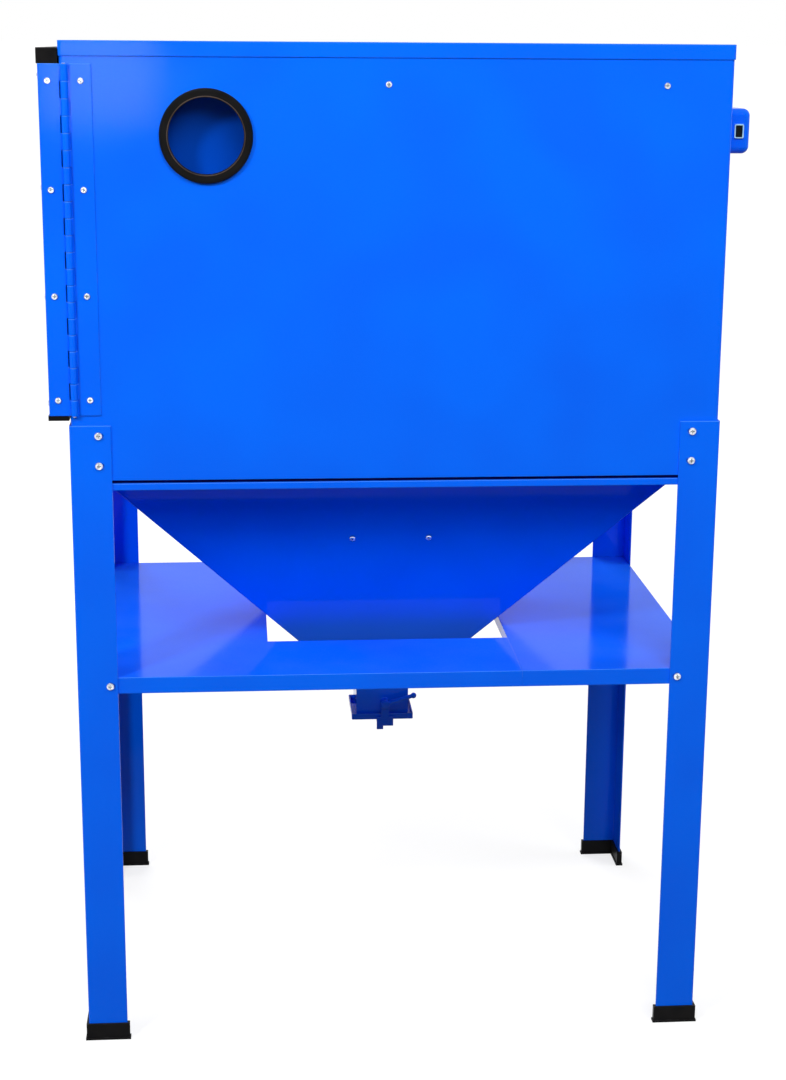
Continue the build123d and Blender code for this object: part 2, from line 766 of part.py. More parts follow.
# ---------------------------------------------------------------- stand and shelf
def leg_section(grow):
    """L section of a leg in plan, with its outer corner at the origin and flanges along -x and -y."""
    long, wall = leg_flange + grow, leg_sheet + grow
    corner = Rectangle(long + grow, long + grow, align=(Align.MAX, Align.MAX))
    section = Pos(grow, grow) * corner - Pos(-wall, -wall) * Rectangle(
        long + grow, long + grow, align=(Align.MAX, Align.MAX))
    return section


def leg(sx, sy):
    """Angle-section leg with slots for the bolts of the box and the shelf."""
    body = extrude(leg_section(0), amount=leg_top - foot_floor)
    outer = body.edges().filter_by(Axis.Z).filter_by(
        lambda e: abs(e.center().X) + abs(e.center().Y) < 0.1)
    body = Pos(0, 0, foot_floor) * fillet(outer, leg_bend)
    slot_half = frame_bolt_radius + bolt_clearance
    heights = [leg_top - leg_bolt_drop, leg_top - leg_bolt_drop - leg_bolt_pitch]
    slots = [(leg_bolt_edge, z) for z in heights] + [(shelf_bolt_edge, shelf_top - shelf_bolt_drop)]
    cut = through / 2
    for edge, z in slots:
        body -= rod("Y", slot_half, (-edge, -cut, z), through)
        body -= rod("Y", slot_half, (-edge - slot_reach, -cut, z), through)
        body -= block((-edge - slot_reach, -edge), (-cut, cut), (z - slot_half, z + slot_half))
    return place_corner(body, sx, sy)


def place_corner(body, sx, sy):
    """Mirror a piece made for the +X +Y corner into the corner given by two signs."""
    body = Pos(leg_out_x, leg_out_y, 0) * body
    if sx < 0:
        body = mirror(body, Plane.YZ)
    if sy < 0:
        body = mirror(body, Plane.XZ)
    return body


def foot(sx, sy):
    """Rubber boot that a leg stands in."""
    cap = extrude(leg_section(foot_wall), amount=foot_height)
    cap += extrude(leg_section(foot_wall + foot_flare), amount=foot_flare_height)
    cap -= Pos(0, 0, foot_floor) * extrude(leg_section(0), amount=foot_height)
    return place_corner(cap, sx, sy)


def shelf_piece(x, open_side):
    """A shelf tray between two x limits with three turned-down outer edges."""
    low = shelf_top - shelf_lip
    tray = block(x, (-half_depth, half_depth), (low, shelf_top))
    inner_x = [x[0] + shelf_sheet, x[1] - shelf_sheet]
    if open_side < 0:
        inner_x[0] = x[0] - 1
    else:
        inner_x[1] = x[1] + 1
    inner_y = (-half_depth + shelf_sheet, half_depth - shelf_sheet)
    return tray - block(inner_x, inner_y, (low - 1, shelf_top - shelf_sheet))


def drill_shelf(shape, sx):
    places = [p for p in shelf_bolt_places() if p[0] * sx > 0]
    return drill(shape, places, frame_bolt_radius + bolt_clearance)


seam_x = -shelf_hole_width / 2
strip_from_hole = 8.0         # lap strip to the cut-out
strip_from_lip = 6.0          # lap strip to the outer lip
strip_on_main = 12.0          # how far the strip reaches under its own sheet


def shelf_main():
    """The larger shelf sheet, cut out round the hopper."""
    body = shelf_piece((seam_x, half_width), -1)
    x, y = shelf_hole_width / 2, shelf_hole_depth / 2
    under = shelf_top - shelf_sheet
    low = shelf_top - shelf_hole_lip
    body += block((seam_x, x + shelf_sheet), (-y - shelf_sheet, y + shelf_sheet), (low, under))
    body -= block((seam_x - 1, x), (-y, y), (low - 1, shelf_top + 1))
    for side in (-1, 1):
        strip_y = (side * (y + strip_from_hole), side * (half_depth - shelf_sheet - strip_from_lip))
        body += block((seam_x - shelf_lap, seam_x + strip_on_main), strip_y, (under - shelf_sheet, under))
    return drill_shelf(body, 1)


def shelf_side():
    """The smaller shelf sheet; its seam is in line with the cut-out's edge."""
    body = shelf_piece((-half_width, seam_x), 1)
    y = shelf_hole_depth / 2
    lip_z = (shelf_top - shelf_hole_lip, shelf_top - shelf_sheet)
    body += block((seam_x - shelf_sheet, seam_x), (-y, y), lip_z)
    return drill_shelf(body, -1)


def frame_bolts():
    bolt = pan_screw(frame_bolt_radius, frame_head_radius, frame_head_height, frame_bolt_length)
    places = leg_bolt_places() + shelf_bolt_places()
    return group([facing(side, x, side * leg_out_y, z) * bolt for x, side, z in places])


def frame_nuts():
    nut = extrude(RegularPolygon(frame_nut_across / 2, 6, major_radius=False), amount=frame_nut_height)
    nut -= Cylinder(frame_bolt_radius + 0.05, 20)
    seats = [(p, half_depth - sheet) for p in leg_bolt_places()]
    seats += [(p, half_depth - shelf_sheet) for p in shelf_bolt_places()]
    return group([facing(-side, x, side * seat, z) * nut for (x, side, z), seat in seats])


# ---------------------------------------------------------------- loading door
def side_door():
    """Door pan: an outer sheet with its edges turned in towards the box."""
    outer = plate_in_side_view(door_points(door_top, door_bottom, door_front, door_pan_inset),
                               (door_in + door_liner, door_out))
    front, rear = door_front + door_sheet, half_depth - door_sheet
    top, bottom = door_top - door_sheet, door_bottom + door_sheet
    inset = door_pan_inset + door_sheet
    hollow = [(rear, bottom), (rear, top), (slope_y(top, inset), top),
              (front, slope_z(front, inset)), (front, bottom)]
    pan = outer - plate_in_side_view(hollow, (door_in, door_out - door_sheet))
    cut = through / 2
    for z in hinge_screw_heights():
        pan -= rod("Y", panel_screw_radius + screw_clearance, (door_screw_x, half_depth - cut, z), through)
    for z in rivet_heights():
        hole = (door_out - cut, half_depth - rivet_edge, z)
        pan -= rod("X", rivet_radius / 2 + rivet_clearance, hole, through)
    return pan


def door_seal():
    """Rubber liner and edge trim of the door, proud of the pan on every edge but the hinge's."""
    trim_front = -half_depth
    outline = [(half_depth, door_bottom - door_trim_edge), (half_depth, door_top + door_trim_top),
               (slope_y(door_top + door_trim_top, door_margin), door_top + door_trim_top),
               (trim_front, slope_z(trim_front, door_margin)), (trim_front, door_bottom - door_trim_edge)]
    rubber = plate_in_side_view(outline, (door_in, door_out + door_trim_proud))
    rubber = fillet(rubber.edges().filter_by(Axis.X), door_trim_corner)
    pan = door_points(door_top, door_bottom, door_front, door_pan_inset)
    rear = half_depth + door_trim_behind
    pan[0], pan[1] = (rear, door_bottom), (rear, door_top)
    rubber -= plate_in_side_view(pan, (door_in + door_liner, door_out + door_trim_proud + 1))
    return rubber


def rivet_heights():
    first = hinge_middle - rivet_pitch * (rivets - 1) / 2
    return [first + rivet_pitch * i for i in range(rivets)]


def door_rivets():
    """Dome-headed rivets that hold the door's stiffener behind its outer face."""
    head = Cylinder(rivet_radius, rivet_height, align=(Align.CENTER, Align.CENTER, Align.MIN))
    head = fillet(head.edges().sort_by(Axis.Z)[-1], rivet_height * 0.9)
    shank = Cylinder(rivet_radius / 2, rivet_shank, align=(Align.CENTER, Align.CENTER, Align.MAX))
    rivet = Rot(0, 90, 0) * (head + shank)
    return [Pos(door_out, half_depth - rivet_edge, z) * rivet for z in rivet_heights()]


def knuckle_spans(odd):
    """Lower and upper end of every other knuckle, counted from the bottom."""
    pitch = (door_top - door_bottom) / hinge_knuckles
    ends = [door_bottom + pitch * i for i in range(hinge_knuckles)]
    spans = [(end + hinge_knuckle_gap / 2, end + pitch - hinge_knuckle_gap / 2) for end in ends]
    return spans[1::2] if odd else spans[0::2]


def hinge_half(odd, leaf_x, tab_x, screw_x):
    """A piano-hinge leaf with every other knuckle."""
    face = (half_depth, half_depth + hinge_leaf)
    leaf = block(leaf_x, face, (door_bottom, door_top))
    for z in hinge_screw_heights():
        leaf -= rod("Y", panel_screw_radius + screw_clearance, (screw_x, half_depth - 5, z), 10)
    for low, high in knuckle_spans(odd):
        tab = block(tab_x, (half_depth + hinge_lift, half_depth + hinge_leaf), (low, high))
        leaf += tab + rod("Z", hinge_barrel_radius, (pivot_x, pivot_y, low), high - low)
    bore = rod("Z", hinge_pin_radius + hinge_pin_clearance, (pivot_x, pivot_y, door_bottom - 5),
               door_top - door_bottom + 10)
    return leaf - bore


def body_hinge_leaf():
    leaf_x = (body_leaf_edge - hinge_leaf_width, body_leaf_edge)
    return hinge_half(True, leaf_x, (body_leaf_edge - 1, pivot_x), body_screw_x)


def door_hinge_leaf():
    """The door's leaf has the first and the last knuckle."""
    return hinge_half(False, (door_leaf_edge, door_out), (pivot_x, door_leaf_edge + 1), door_screw_x)


def hinge_pin():
    return rod("Z", hinge_pin_radius, (pivot_x, pivot_y, door_bottom - 1), door_top - door_bottom + 2)


def small_screw():
    return pan_screw(panel_screw_radius, panel_head_radius, panel_head_height, panel_screw_length)


def door_fasteners():
    """The door's rivets, and the screws of its hinge leaf."""
    seat = half_depth + hinge_leaf
    screws = [facing(1, door_screw_x, seat, z) * small_screw() for z in hinge_screw_heights()]
    return group(door_rivets() + screws)


def panel_screws():
    """Screws of the fixed hinge leaf, the lamp and the pick-up tube's bracket."""
    seat = half_depth + hinge_leaf
    screws = [facing(1, body_screw_x, seat, z) * small_screw() for z in hinge_screw_heights()]
    screws += [facing(1, x, half_depth, lamp_screw_z) * small_screw() for x in lamp_screw_places]
    outside = rear_slope_plane(False)
    screws += [outside.location * Pos(side * bracket_pitch / 2, 0, 0) * small_screw() for side in (-1, 1)]
    return group(screws)


def door_handle():
    """Bow handle on the door's outer face."""
    y, z = door_front + handle_from_edge, (door_bottom + slope_bottom) / 2 + handle_rise
    low, high = z - handle_span / 2, z + handle_span / 2
    out = door_out + handle_reach
    path = FilletPolyline((door_out, y, low), (out, y, low), (out, y, high), (door_out, y, high),
                          radius=handle_radius * 1.8)
    bar = sweep(Plane(origin=(door_out, y, low), z_dir=(1, 0, 0)) * Circle(handle_radius), path=path)
    for end in (low, high):
        bar += rod("X", handle_radius * 1.7, (door_out, y, end), handle_flange)
    return bar


# ---------------------------------------------------------------- draw latches of the door
latch_x = half_width - latch_pivot_inset
latch_y = -half_depth - latch_pivot_height
loop_x = latch_x - latch_link
loop_y = latch_y + loop_pivot_in
ear_in = latch_half_width - latch_base_sheet


def latch_base(height):
    """Riveted plate with two ears and the lever's pivot studs."""
    plate_out = -half_depth - latch_base_sheet
    plate = block((latch_x - latch_plate_behind, latch_x + latch_plate_ahead), (plate_out, -half_depth),
                  (height - latch_half_width, height + latch_half_width))
    for side in (-1, 1):
        z = (height + side * ear_in, height + side * latch_half_width)
        plate += block((latch_x - latch_ear_half, latch_x + latch_ear_half),
                       (latch_y - latch_ear_proud, -half_depth), z)
        low = min(height + side * latch_stud_start, height + side * ear_in)
        plate += rod("Z", latch_pin_radius, (latch_x, latch_y, low), ear_in - latch_stud_start)
        rivet = (latch_x - latch_rivet_back, plate_out - latch_rivet_proud, height + side * latch_rivet_half)
        plate += rod("Y", latch_rivet_radius, rivet, latch_rivet_proud + latch_base_sheet / 10)
    return plate


def latch_lever(height):
    """Over-centre lever: two cheeks, a web behind the loop's pivot and a finger tab."""
    out = latch_y - lever_out
    free_end = latch_x - latch_lever_length
    wide = (height - lever_half, height + lever_half)
    lever = block((free_end, loop_x - lever_behind), (out, out + lever_web), wide)
    tab_y = (out + lever_web - lever_tab, out + lever_web)
    lever += block((free_end - lever_tab_sheet, free_end), tab_y, wide)
    for side in (-1, 1):
        z = (height + side * (lever_half - lever_cheek), height + side * lever_half)
        lever += block((loop_x - cheek_behind, latch_x + cheek_ahead), (out, latch_y + cheek_in), z)
    low, long = height - latch_half_width, 2 * latch_half_width
    lever -= rod("Z", latch_pin_radius + latch_pin_clearance, (latch_x, latch_y, low), long)
    return lever - rod("Z", latch_wire_radius + latch_pin_clearance, (loop_x, loop_y, low), long)


def latch_loop(height):
    """Closed wire loop that hooks over the catch on the door."""
    wire = latch_wire_radius
    loop = rod("Z", wire, (loop_x, loop_y, height - loop_pivot_half), 2 * loop_pivot_half)
    for side in (-1, 1):
        start = (loop_x, loop_y, height + side * latch_wire_half)
        loop += rod("X", wire, start, latch_loop_length)
        loop += Pos(start[0] + latch_loop_length, loop_y, start[2]) * Sphere(wire)
    end = (loop_x + latch_loop_length, loop_y, height - latch_wire_half)
    return loop + rod("Z", wire, end, 2 * latch_wire_half)


def latch_catches():
    """Catch plates that wrap the door's front edge, one for each latch."""
    hook_out = loop_x + latch_loop_length - latch_wire_radius - latch_clearance
    face = door_out + door_trim_proud
    y = (-half_depth - catch_gap - catch_sheet, -half_depth - catch_gap)
    reach = door_front + catch_reach
    catches = []
    for height in latch_heights:
        z = (height - catch_half, height + catch_half)
        catch = block((door_in + 1, face + catch_sheet), y, z)
        catch += block((face, face + catch_sheet), (y[0], reach), z)
        catch += block((door_out, face), (door_front + catch_spacer, reach), z)
        catch += block((hook_out - catch_hook_sheet, hook_out), (loop_y - catch_hook_reach, y[1]),
                       (height - catch_hook_half, height + catch_hook_half))
        catches.append(catch)
    return group(catches)


# ---------------------------------------------------------------- dust port, lamp, switch and air inlet
def dust_port_ring():
    """Grooved rubber ring that grips the edge of the round hole in the rear sheet."""
    neck = duct_radius + duct_ring_neck
    outer = rod("Y", duct_ring_radius, (duct_x, half_depth, duct_z), duct_ring_proud)
    outer = fillet(outer.edges().sort_by(Axis.Y)[-1], duct_ring_proud * 0.6)
    start = (duct_x, half_depth - sheet - duct_ring_inside, duct_z)
    body = outer + rod("Y", neck, start, sheet + duct_ring_inside)
    body += rod("Y", neck + duct_ring_bead, start, duct_ring_inside)
    return body - rod("Y", duct_radius, (duct_x, half_depth - through, duct_z), 2 * through)


def lamp_housing():
    """Shallow reflector box on the rear sheet, open downwards."""
    x = (lamp_centre_x - lamp_length / 2, lamp_centre_x + lamp_length / 2)
    y = (half_depth - sheet - lamp_depth, half_depth - sheet)
    z = (lamp_screw_z - lamp_height / 2, lamp_screw_z + lamp_height / 2)
    case = block(x, y, z)
    case -= block((x[0] + lamp_sheet, x[1] - lamp_sheet), (y[0] + lamp_sheet, y[1] - lamp_back),
                  (z[0] - 1, z[1] - lamp_bed))
    for place in lamp_screw_places:
        hole = (place, y[1] - lamp_bed, lamp_screw_z)
        case -= rod("Y", panel_screw_radius + screw_clearance, hole, through)
    return case


def lamp_tube():
    """Fluorescent tube with its two end caps."""
    inner = lamp_length - 2 * (lamp_sheet + lamp_tube_gap)
    start = (lamp_centre_x - inner / 2, half_depth - sheet - lamp_tube_out, lamp_screw_z - lamp_tube_drop)
    tube = rod("X", lamp_tube_radius - lamp_cap_proud, start, inner)
    for end in (start[0], start[0] + inner - lamp_cap):
        tube += rod("X", lamp_tube_radius, (end, start[1], start[2]), lamp_cap)
    return tube


switch_rear = half_depth - switch_from_rear
switch_z = overall_height - switch_drop
rocker_x = -side_face - rocker_out
rocker_seat = switch_rear + bezel_proud


def rounded_cap(x, y, z, radius):
    """A box rounded on every edge but those of its +X face."""
    body = block(x, y, z)
    far = body.edges().filter_by(lambda e: abs(e.center().X - x[0]) < 0.1)
    return fillet(body.edges().filter_by(Axis.X) + far, radius)


def switch_box():
    """Deep-drawn box with rounded outer edges; it holds the lamp's transformer."""
    x = (-side_face - switch_reach, -side_face)
    y = (switch_rear - switch_length, switch_rear)
    z = (switch_z - switch_height / 2, switch_z + switch_height / 2)
    wall = switch_wall
    inner_x = (x[0] + wall, x[1] + 1)
    inner_y, inner_z = (y[0] + wall, y[1] - wall), (z[0] + wall, z[1] - wall)
    box = rounded_cap(x, y, z, switch_corner) - rounded_cap(inner_x, inner_y, inner_z, switch_corner - wall)
    bezel_w, bezel_h = rocker_width + 2 * bezel_margin, rocker_height + 2 * bezel_margin
    bezel = block((rocker_x - bezel_w / 2, rocker_x + bezel_w / 2), (switch_rear - rocker_body, rocker_seat),
                  (switch_z - bezel_h / 2, switch_z + bezel_h / 2))
    wide, high = rocker_width / 2 + rocker_clearance, rocker_height / 2 + rocker_clearance
    well = block((rocker_x - wide, rocker_x + wide), (switch_rear - through / 2, switch_rear + through / 2),
                 (switch_z - high, switch_z + high))
    return box + bezel - well


def switch_rocker():
    """Rocker button with a shallow V face; it tips about a level axle."""
    x = (rocker_x - rocker_width / 2, rocker_x + rocker_width / 2)
    z = rocker_height / 2
    face = rocker_seat + rocker_proud
    bump = z * sin(radians(rocker_tilt))
    back, narrow = face - rocker_body, z - rocker_taper
    points = [(back, -narrow), (face + bump, -z + 0.2), (face + bump - rocker_dish - 0.2, 0),
              (face + bump, z - 0.2), (back, narrow)]
    return plate_in_side_view([(y, switch_z + height) for y, height in points], x)


def air_inlet():
    """Bulkhead coupling for the compressed-air line, with its lock nut inside."""
    hexagon = RegularPolygon(inlet_across / 2, 6, major_radius=False)
    head = extrude(hexagon, amount=inlet_reach)
    shank = Cylinder(inlet_shank, inlet_shank_length, align=(Align.CENTER, Align.CENTER, Align.MAX))
    nut = Pos(0, 0, -sheet - inlet_nut_height) * extrude(hexagon, amount=inlet_nut_height)
    body = head + shank + nut
    body -= Pos(0, 0, inlet_reach - inlet_bore_depth) * Cylinder(
        inlet_bore, inlet_bore_depth + 1, align=(Align.CENTER, Align.CENTER, Align.MIN))
    body -= Cylinder(inlet_way, 2 * inlet_reach)
    return Pos(-side_face, inlet_y, inlet_height) * Rot(0, -90, 0) * body


# ---------------------------------------------------------------- gloves, gun and pick-up tube
def glove_rings():
    """Flanged rings in the front sheet; each glove's cuff is stretched over a ring's inner end."""
    rings = []
    outer = glove_port_radius + glove_port_wall
    for side in (-1, 1):
        x, z = side * glove_port_x, glove_port_height
        flange = rod("Y", glove_ring_radius, (x, -half_depth - glove_ring_proud, z), glove_ring_proud)
        flange = fillet(flange.edges().sort_by(Axis.Y)[0], glove_ring_proud * 0.6)
        body = flange + rod("Y", outer, (x, -half_depth, z), glove_collar)
        way_in = rod("Y", glove_port_radius, (x, -half_depth - through, z), glove_collar + 2 * through)
        rings.append(body - way_in)
    return group(rings)


def glove(side):
    """Gauntlet as a tapered sleeve that droops to a closed hand."""
    x, z = side * glove_port_x, glove_port_height
    start = -half_depth + sheet + glove_cuff_start
    cuff = glove_port_radius + glove_port_wall + glove_clearance
    straight = -half_depth + glove_collar + glove_cuff_past
    wrist_y, wrist_z = straight + glove_length, z - glove_drop
    facing_rear = {"x_dir": (1, 0, 0), "z_dir": (0, 1, 0)}

    def tube(grow):
        first = Plane(origin=(x, straight, z), **facing_rear) * Circle(cuff + grow)
        last = Plane(origin=(x, wrist_y, wrist_z), **facing_rear) * Circle(glove_wrist + grow)
        return loft([first, last], ruled=True) + rod("Y", cuff + grow, (x, start, z), straight - start)

    sleeve = tube(glove_wall) - tube(0)
    palm_z = wrist_z - palm_drop
    wrist = Plane(origin=(x, wrist_y, wrist_z), **facing_rear) * Circle(glove_wrist + glove_wall)
    palm = Plane(origin=(x, wrist_y + hand_length * 0.45, palm_z), **facing_rear) * Ellipse(
        hand_width / 2, hand_thickness / 2)
    fingers = Plane(origin=(x, wrist_y + hand_length, palm_z - finger_drop), **facing_rear) * Ellipse(
        hand_width * 0.42, hand_thickness * 0.3)
    return sleeve + loft([wrist, palm], ruled=True) + loft([palm, fingers], ruled=True)


gun_z = grate_top + gun_rest + gun_radius


def blast_gun():
    """Suction gun that lies on its side on the grate: barrel, mixing body and grip."""
    back, mouth = gun_y - gun_length / 2, gun_y + gun_length / 2
    grip_y = (gun_y - gun_grip_back, gun_y - gun_grip_front)
    body = rod("Y", gun_radius, (gun_x, back, gun_z), gun_length)
    grip = block((gun_x, gun_x + gun_grip), grip_y, (gun_z - gun_radius + 1, gun_z + gun_radius - 1))
    body += fillet(grip.edges().filter_by(Axis.X), gun_grip_corner)
    body += rod("X", air_barb_radius, (gun_x + gun_grip, sum(grip_y) / 2, gun_z), air_barb_length)
    body += rod("Y", media_barb_radius, (gun_x, back - media_barb_length, gun_z), media_barb_length)
    body += rod("Y", gun_radius - 2, (gun_x, mouth, gun_z), nozzle_collar)
    guard = (gun_x + guard_x[0], gun_x + guard_x[1])
    body += block(guard, (grip_y[1], gun_y + guard_front), (gun_z - guard_half, gun_z + guard_half))
    slot = block((guard[0] - 0.5, guard[1] + 10), (grip_y[1] + 0.1, gun_y + 2 * gun_radius),
                 (gun_z - guard_slot, gun_z + guard_slot))
    body -= slot
    pin = (gun_x + trigger_x, gun_y + trigger_y, gun_z - guard_slot - 0.4)
    body += rod("Z", trigger_pin, pin, 2 * (guard_slot + 0.4))
    return body - rod("Y", gun_bore, (gun_x, mouth - gun_bore * 2, gun_z), 2 * nozzle_length)


def gun_nozzle():
    """Ceramic nozzle in the gun's mouth."""
    start = gun_y + gun_length / 2 + nozzle_collar
    body = rod("Y", nozzle_radius, (gun_x, start, gun_z), nozzle_length)
    return body - rod("Y", nozzle_bore, (gun_x, start - 1, gun_z), nozzle_length + 2)


def gun_trigger():
    """Trigger lever on a cross pin in the gun's guard."""
    low, thick = gun_z - trigger_half, 2 * trigger_half
    pin = (gun_x + trigger_x, gun_y + trigger_y)
    lever = block((gun_x + trigger_start, gun_x + trigger_end), (pin[1] - 3, pin[1] + 3), (low, low + thick))
    lever += rod("Z", trigger_hub, (*pin, low), thick)
    return lever - rod("Z", trigger_pin + trigger_clearance, (*pin, low - 1), thick + 2)


def pickup_tube():
    """Abrasive pick-up tube on its bracket, inside the rear hopper sheet."""
    plane = rear_slope_plane(True)
    half = bracket_pitch / 2 + strap_end
    strap = Box(2 * half, strap_width, strap_sheet, align=(Align.CENTER, Align.CENTER, Align.MIN))
    for side in (-1, 1):
        strap -= Pos(side * bracket_pitch / 2, 0, 0) * Cylinder(panel_screw_radius + screw_clearance, through)
    saddle = Pos(0, 0, pickup_stand_off / 2) * Box(saddle_width, strap_width, pickup_stand_off)
    middle = Pos(0, -pickup_drop, pickup_stand_off) * Rot(90, 0, 0)
    tube = middle * Cylinder(pickup_radius, pickup_length)
    bore = middle * Cylinder(pickup_radius - pickup_wall, pickup_length + 2)
    return plane.location * (strap + saddle + tube - bore)


# ---------------------------------------------------------------- write every node
os.makedirs("parts", exist_ok=True)
corners = {"rear_right": (1, 1), "rear_left": (-1, 1), "front_right": (1, -1), "front_left": (-1, -1)}

nodes = {
    "rear_panel": rear_panel(),
    "dust_baffle": dust_baffle(),
    "front_panel": front_panel(),
    "left_side_panel": left_side_panel(),
    "right_side_frame": right_side_frame(),
    "window_frame": window_frame(),
    "window_pane": window_pane(),
    "window_seal": window_seal(),
    "top_cover": top_cover(),
    "floor_frame": floor_frame(),
    "hopper_gasket": hopper_gasket(),
    "work_grate": work_grate(),
    "hopper_rim": hopper_rim(),
    "hopper_rear_slope": rear_slope(),
    "hopper_front_slope": hopper_slope("front"),
    "hopper_left_slope": hopper_slope("left"),
    "hopper_right_slope": hopper_slope("right"),
    "outlet_throat": outlet_throat(),
    "outlet_door": outlet_door(),
    "outlet_hinge_pin": outlet_hinge_pin(),
    "outlet_latch": outlet_latch(),
    "shelf_main": shelf_main(),
    "shelf_side": shelf_side(),
    "frame_bolts": frame_bolts(),
    "frame_nuts": frame_nuts(),
    "side_door": side_door(),
    "door_seal": door_seal(),
    "door_fasteners": door_fasteners(),
    "body_hinge_leaf": body_hinge_leaf(),
    "door_hinge_leaf": door_hinge_leaf(),
    "hinge_pin": hinge_pin(),
    "panel_screws": panel_screws(),
    "door_handle": door_handle(),
    "latch_catches": latch_catches(),
    "dust_port_ring": dust_port_ring(),
    "lamp_housing": lamp_housing(),
    "lamp_tube": lamp_tube(),
    "switch_box": switch_box(),
    "switch_rocker": switch_rocker(),
    "air_inlet": air_inlet(),
    "glove_rings": glove_rings(),
    "glove_left": glove(-1),
    "glove_right": glove(1),
    "blast_gun": blast_gun(),
    "gun_nozzle": gun_nozzle(),
    "gun_trigger": gun_trigger(),
    "pickup_tube": pickup_tube(),
}
for place, (sx, sy) in corners.items():
    nodes["leg_" + place] = leg(sx, sy)
    nodes["foot_" + place] = foot(sx, sy)
nodes["latch_bases"] = group([latch_base(height) for height in latch_heights])
for name, height in zip(("lower", "upper"), latch_heights):
    nodes["latch_lever_" + name] = latch_lever(height)
    nodes["latch_loop_" + name] = latch_loop(height)

for node, shape in nodes.items():
    write(node, shape)
print(len(nodes), "nodes")
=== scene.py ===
# %% [markdown]
# # A blasting cabinet on four legs
#
# A blasting cabinet is a sheet-metal box with a sloped window. The operator reaches in through two long
# gloves and cleans a part with a stream of grit, which falls through a grate into a hopper. The CAD model
# holds every metal and moulded piece at its real size. This script gives those pieces their finishes, adds
# the soft gloves and two small trims as modelled meshes, and sets up the camera and the light.

# %% Load the frame
import json
import math

import bmesh
import bpy
from mathutils import Matrix, Vector, noise


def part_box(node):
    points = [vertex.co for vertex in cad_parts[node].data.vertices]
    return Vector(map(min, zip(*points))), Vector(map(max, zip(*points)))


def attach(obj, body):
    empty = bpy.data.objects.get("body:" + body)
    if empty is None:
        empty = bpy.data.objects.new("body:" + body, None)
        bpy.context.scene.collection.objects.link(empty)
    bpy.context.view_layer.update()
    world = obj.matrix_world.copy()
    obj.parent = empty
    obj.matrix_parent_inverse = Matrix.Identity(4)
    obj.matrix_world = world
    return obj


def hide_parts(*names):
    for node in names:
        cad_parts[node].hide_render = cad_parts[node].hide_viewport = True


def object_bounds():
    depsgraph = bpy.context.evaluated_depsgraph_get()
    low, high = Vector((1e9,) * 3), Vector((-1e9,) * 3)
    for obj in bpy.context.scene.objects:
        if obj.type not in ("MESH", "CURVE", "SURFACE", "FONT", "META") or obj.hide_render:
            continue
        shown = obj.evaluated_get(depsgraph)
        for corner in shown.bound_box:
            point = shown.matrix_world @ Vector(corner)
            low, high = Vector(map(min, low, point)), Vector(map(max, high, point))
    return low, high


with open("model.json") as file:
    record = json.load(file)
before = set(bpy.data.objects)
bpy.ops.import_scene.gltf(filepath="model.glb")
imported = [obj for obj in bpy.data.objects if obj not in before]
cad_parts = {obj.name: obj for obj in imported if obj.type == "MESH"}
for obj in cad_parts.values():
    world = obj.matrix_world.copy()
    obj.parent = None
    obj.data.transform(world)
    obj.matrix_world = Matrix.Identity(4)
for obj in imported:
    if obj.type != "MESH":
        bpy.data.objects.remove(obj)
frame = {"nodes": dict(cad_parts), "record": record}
cad_low, cad_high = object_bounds()
scene = bpy.context.scene
MM = 0.001
print("CAD box in metres:", [round(v, 3) for v in (*cad_low, *cad_high)])

# %% [markdown]
# ## The camera
#
# A product picture of something this tall is taken from about three metres with a lens near 66 mm, at the
# height of the object's top, looking a little down. The camera is placed by what it aims at, which is a
# point in the plane of the rear sheet at about half the cabinet's height, and by its distance, its turn and
# its tilt. Written this way, each number means something, and the camera keeps its distance from the rear
# sheet if the cabinet's depth changes.

# %% Place the camera
LENS = 66.2
AIM_DISTANCE = 2.9985
AIM_SIDE = 0.0072                  # from the cabinet's middle, towards the loading door
AIM_HEIGHT = 0.811
TURN = math.radians(4.54)          # towards the side with the loading door
TILT = math.radians(14.11)         # above the horizon
ROLL = math.radians(0.39)


def place_camera(aim):
    """A camera at the rear, turned and tilted about the point that it aims at."""
    back = Vector((math.sin(TURN) * math.cos(TILT), math.cos(TURN) * math.cos(TILT), math.sin(TILT)))
    camera = bpy.data.objects.new("camera", bpy.data.cameras.new("camera"))
    camera.data.lens = LENS
    camera.rotation_mode = "QUATERNION"
    camera.location = aim + back * AIM_DISTANCE
    facing = (-back).to_track_quat("-Z", "Y")
    camera.rotation_quaternion = facing @ Matrix.Rotation(ROLL, 3, "Z").to_quaternion()
    scene.collection.objects.link(camera)
    scene.camera = camera
    return camera


rear_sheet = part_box("rear_panel")[1].y
camera = place_camera(Vector((AIM_SIDE, rear_sheet, AIM_HEIGHT)))
print("camera at", [round(v, 3) for v in camera.location])

# %% [markdown]
# ## Building shaders in code
#
# Every finish here is a small node tree. A few helpers keep the trees short. Any of them takes a number or
# another node's output as a value, and joins the output by itself, so a tree reads like a formula.

# %% Helpers for nodes


def feed(tree, socket, value):
    """Join an output to an input socket, or set the socket to a plain value."""
    if isinstance(value, bpy.types.NodeSocket):
        tree.links.new(value, socket)
    else:
        socket.default_value = value


def add_node(tree, kind, inputs=None, **settings):
    """A new node in a tree, with its settings and the values of its inputs."""
    node = tree.nodes.new(kind)
    for name, value in settings.items():
        setattr(node, name, value)
    for name, value in (inputs or {}).items():
        feed(tree, node.inputs[name], value)
    return node


def maths(tree, operation, a, b=0.0, clamp=False):
    """The result of one sum of two values."""
    node = add_node(tree, "ShaderNodeMath", {0: a, 1: b}, operation=operation, use_clamp=clamp)
    return node.outputs[0]


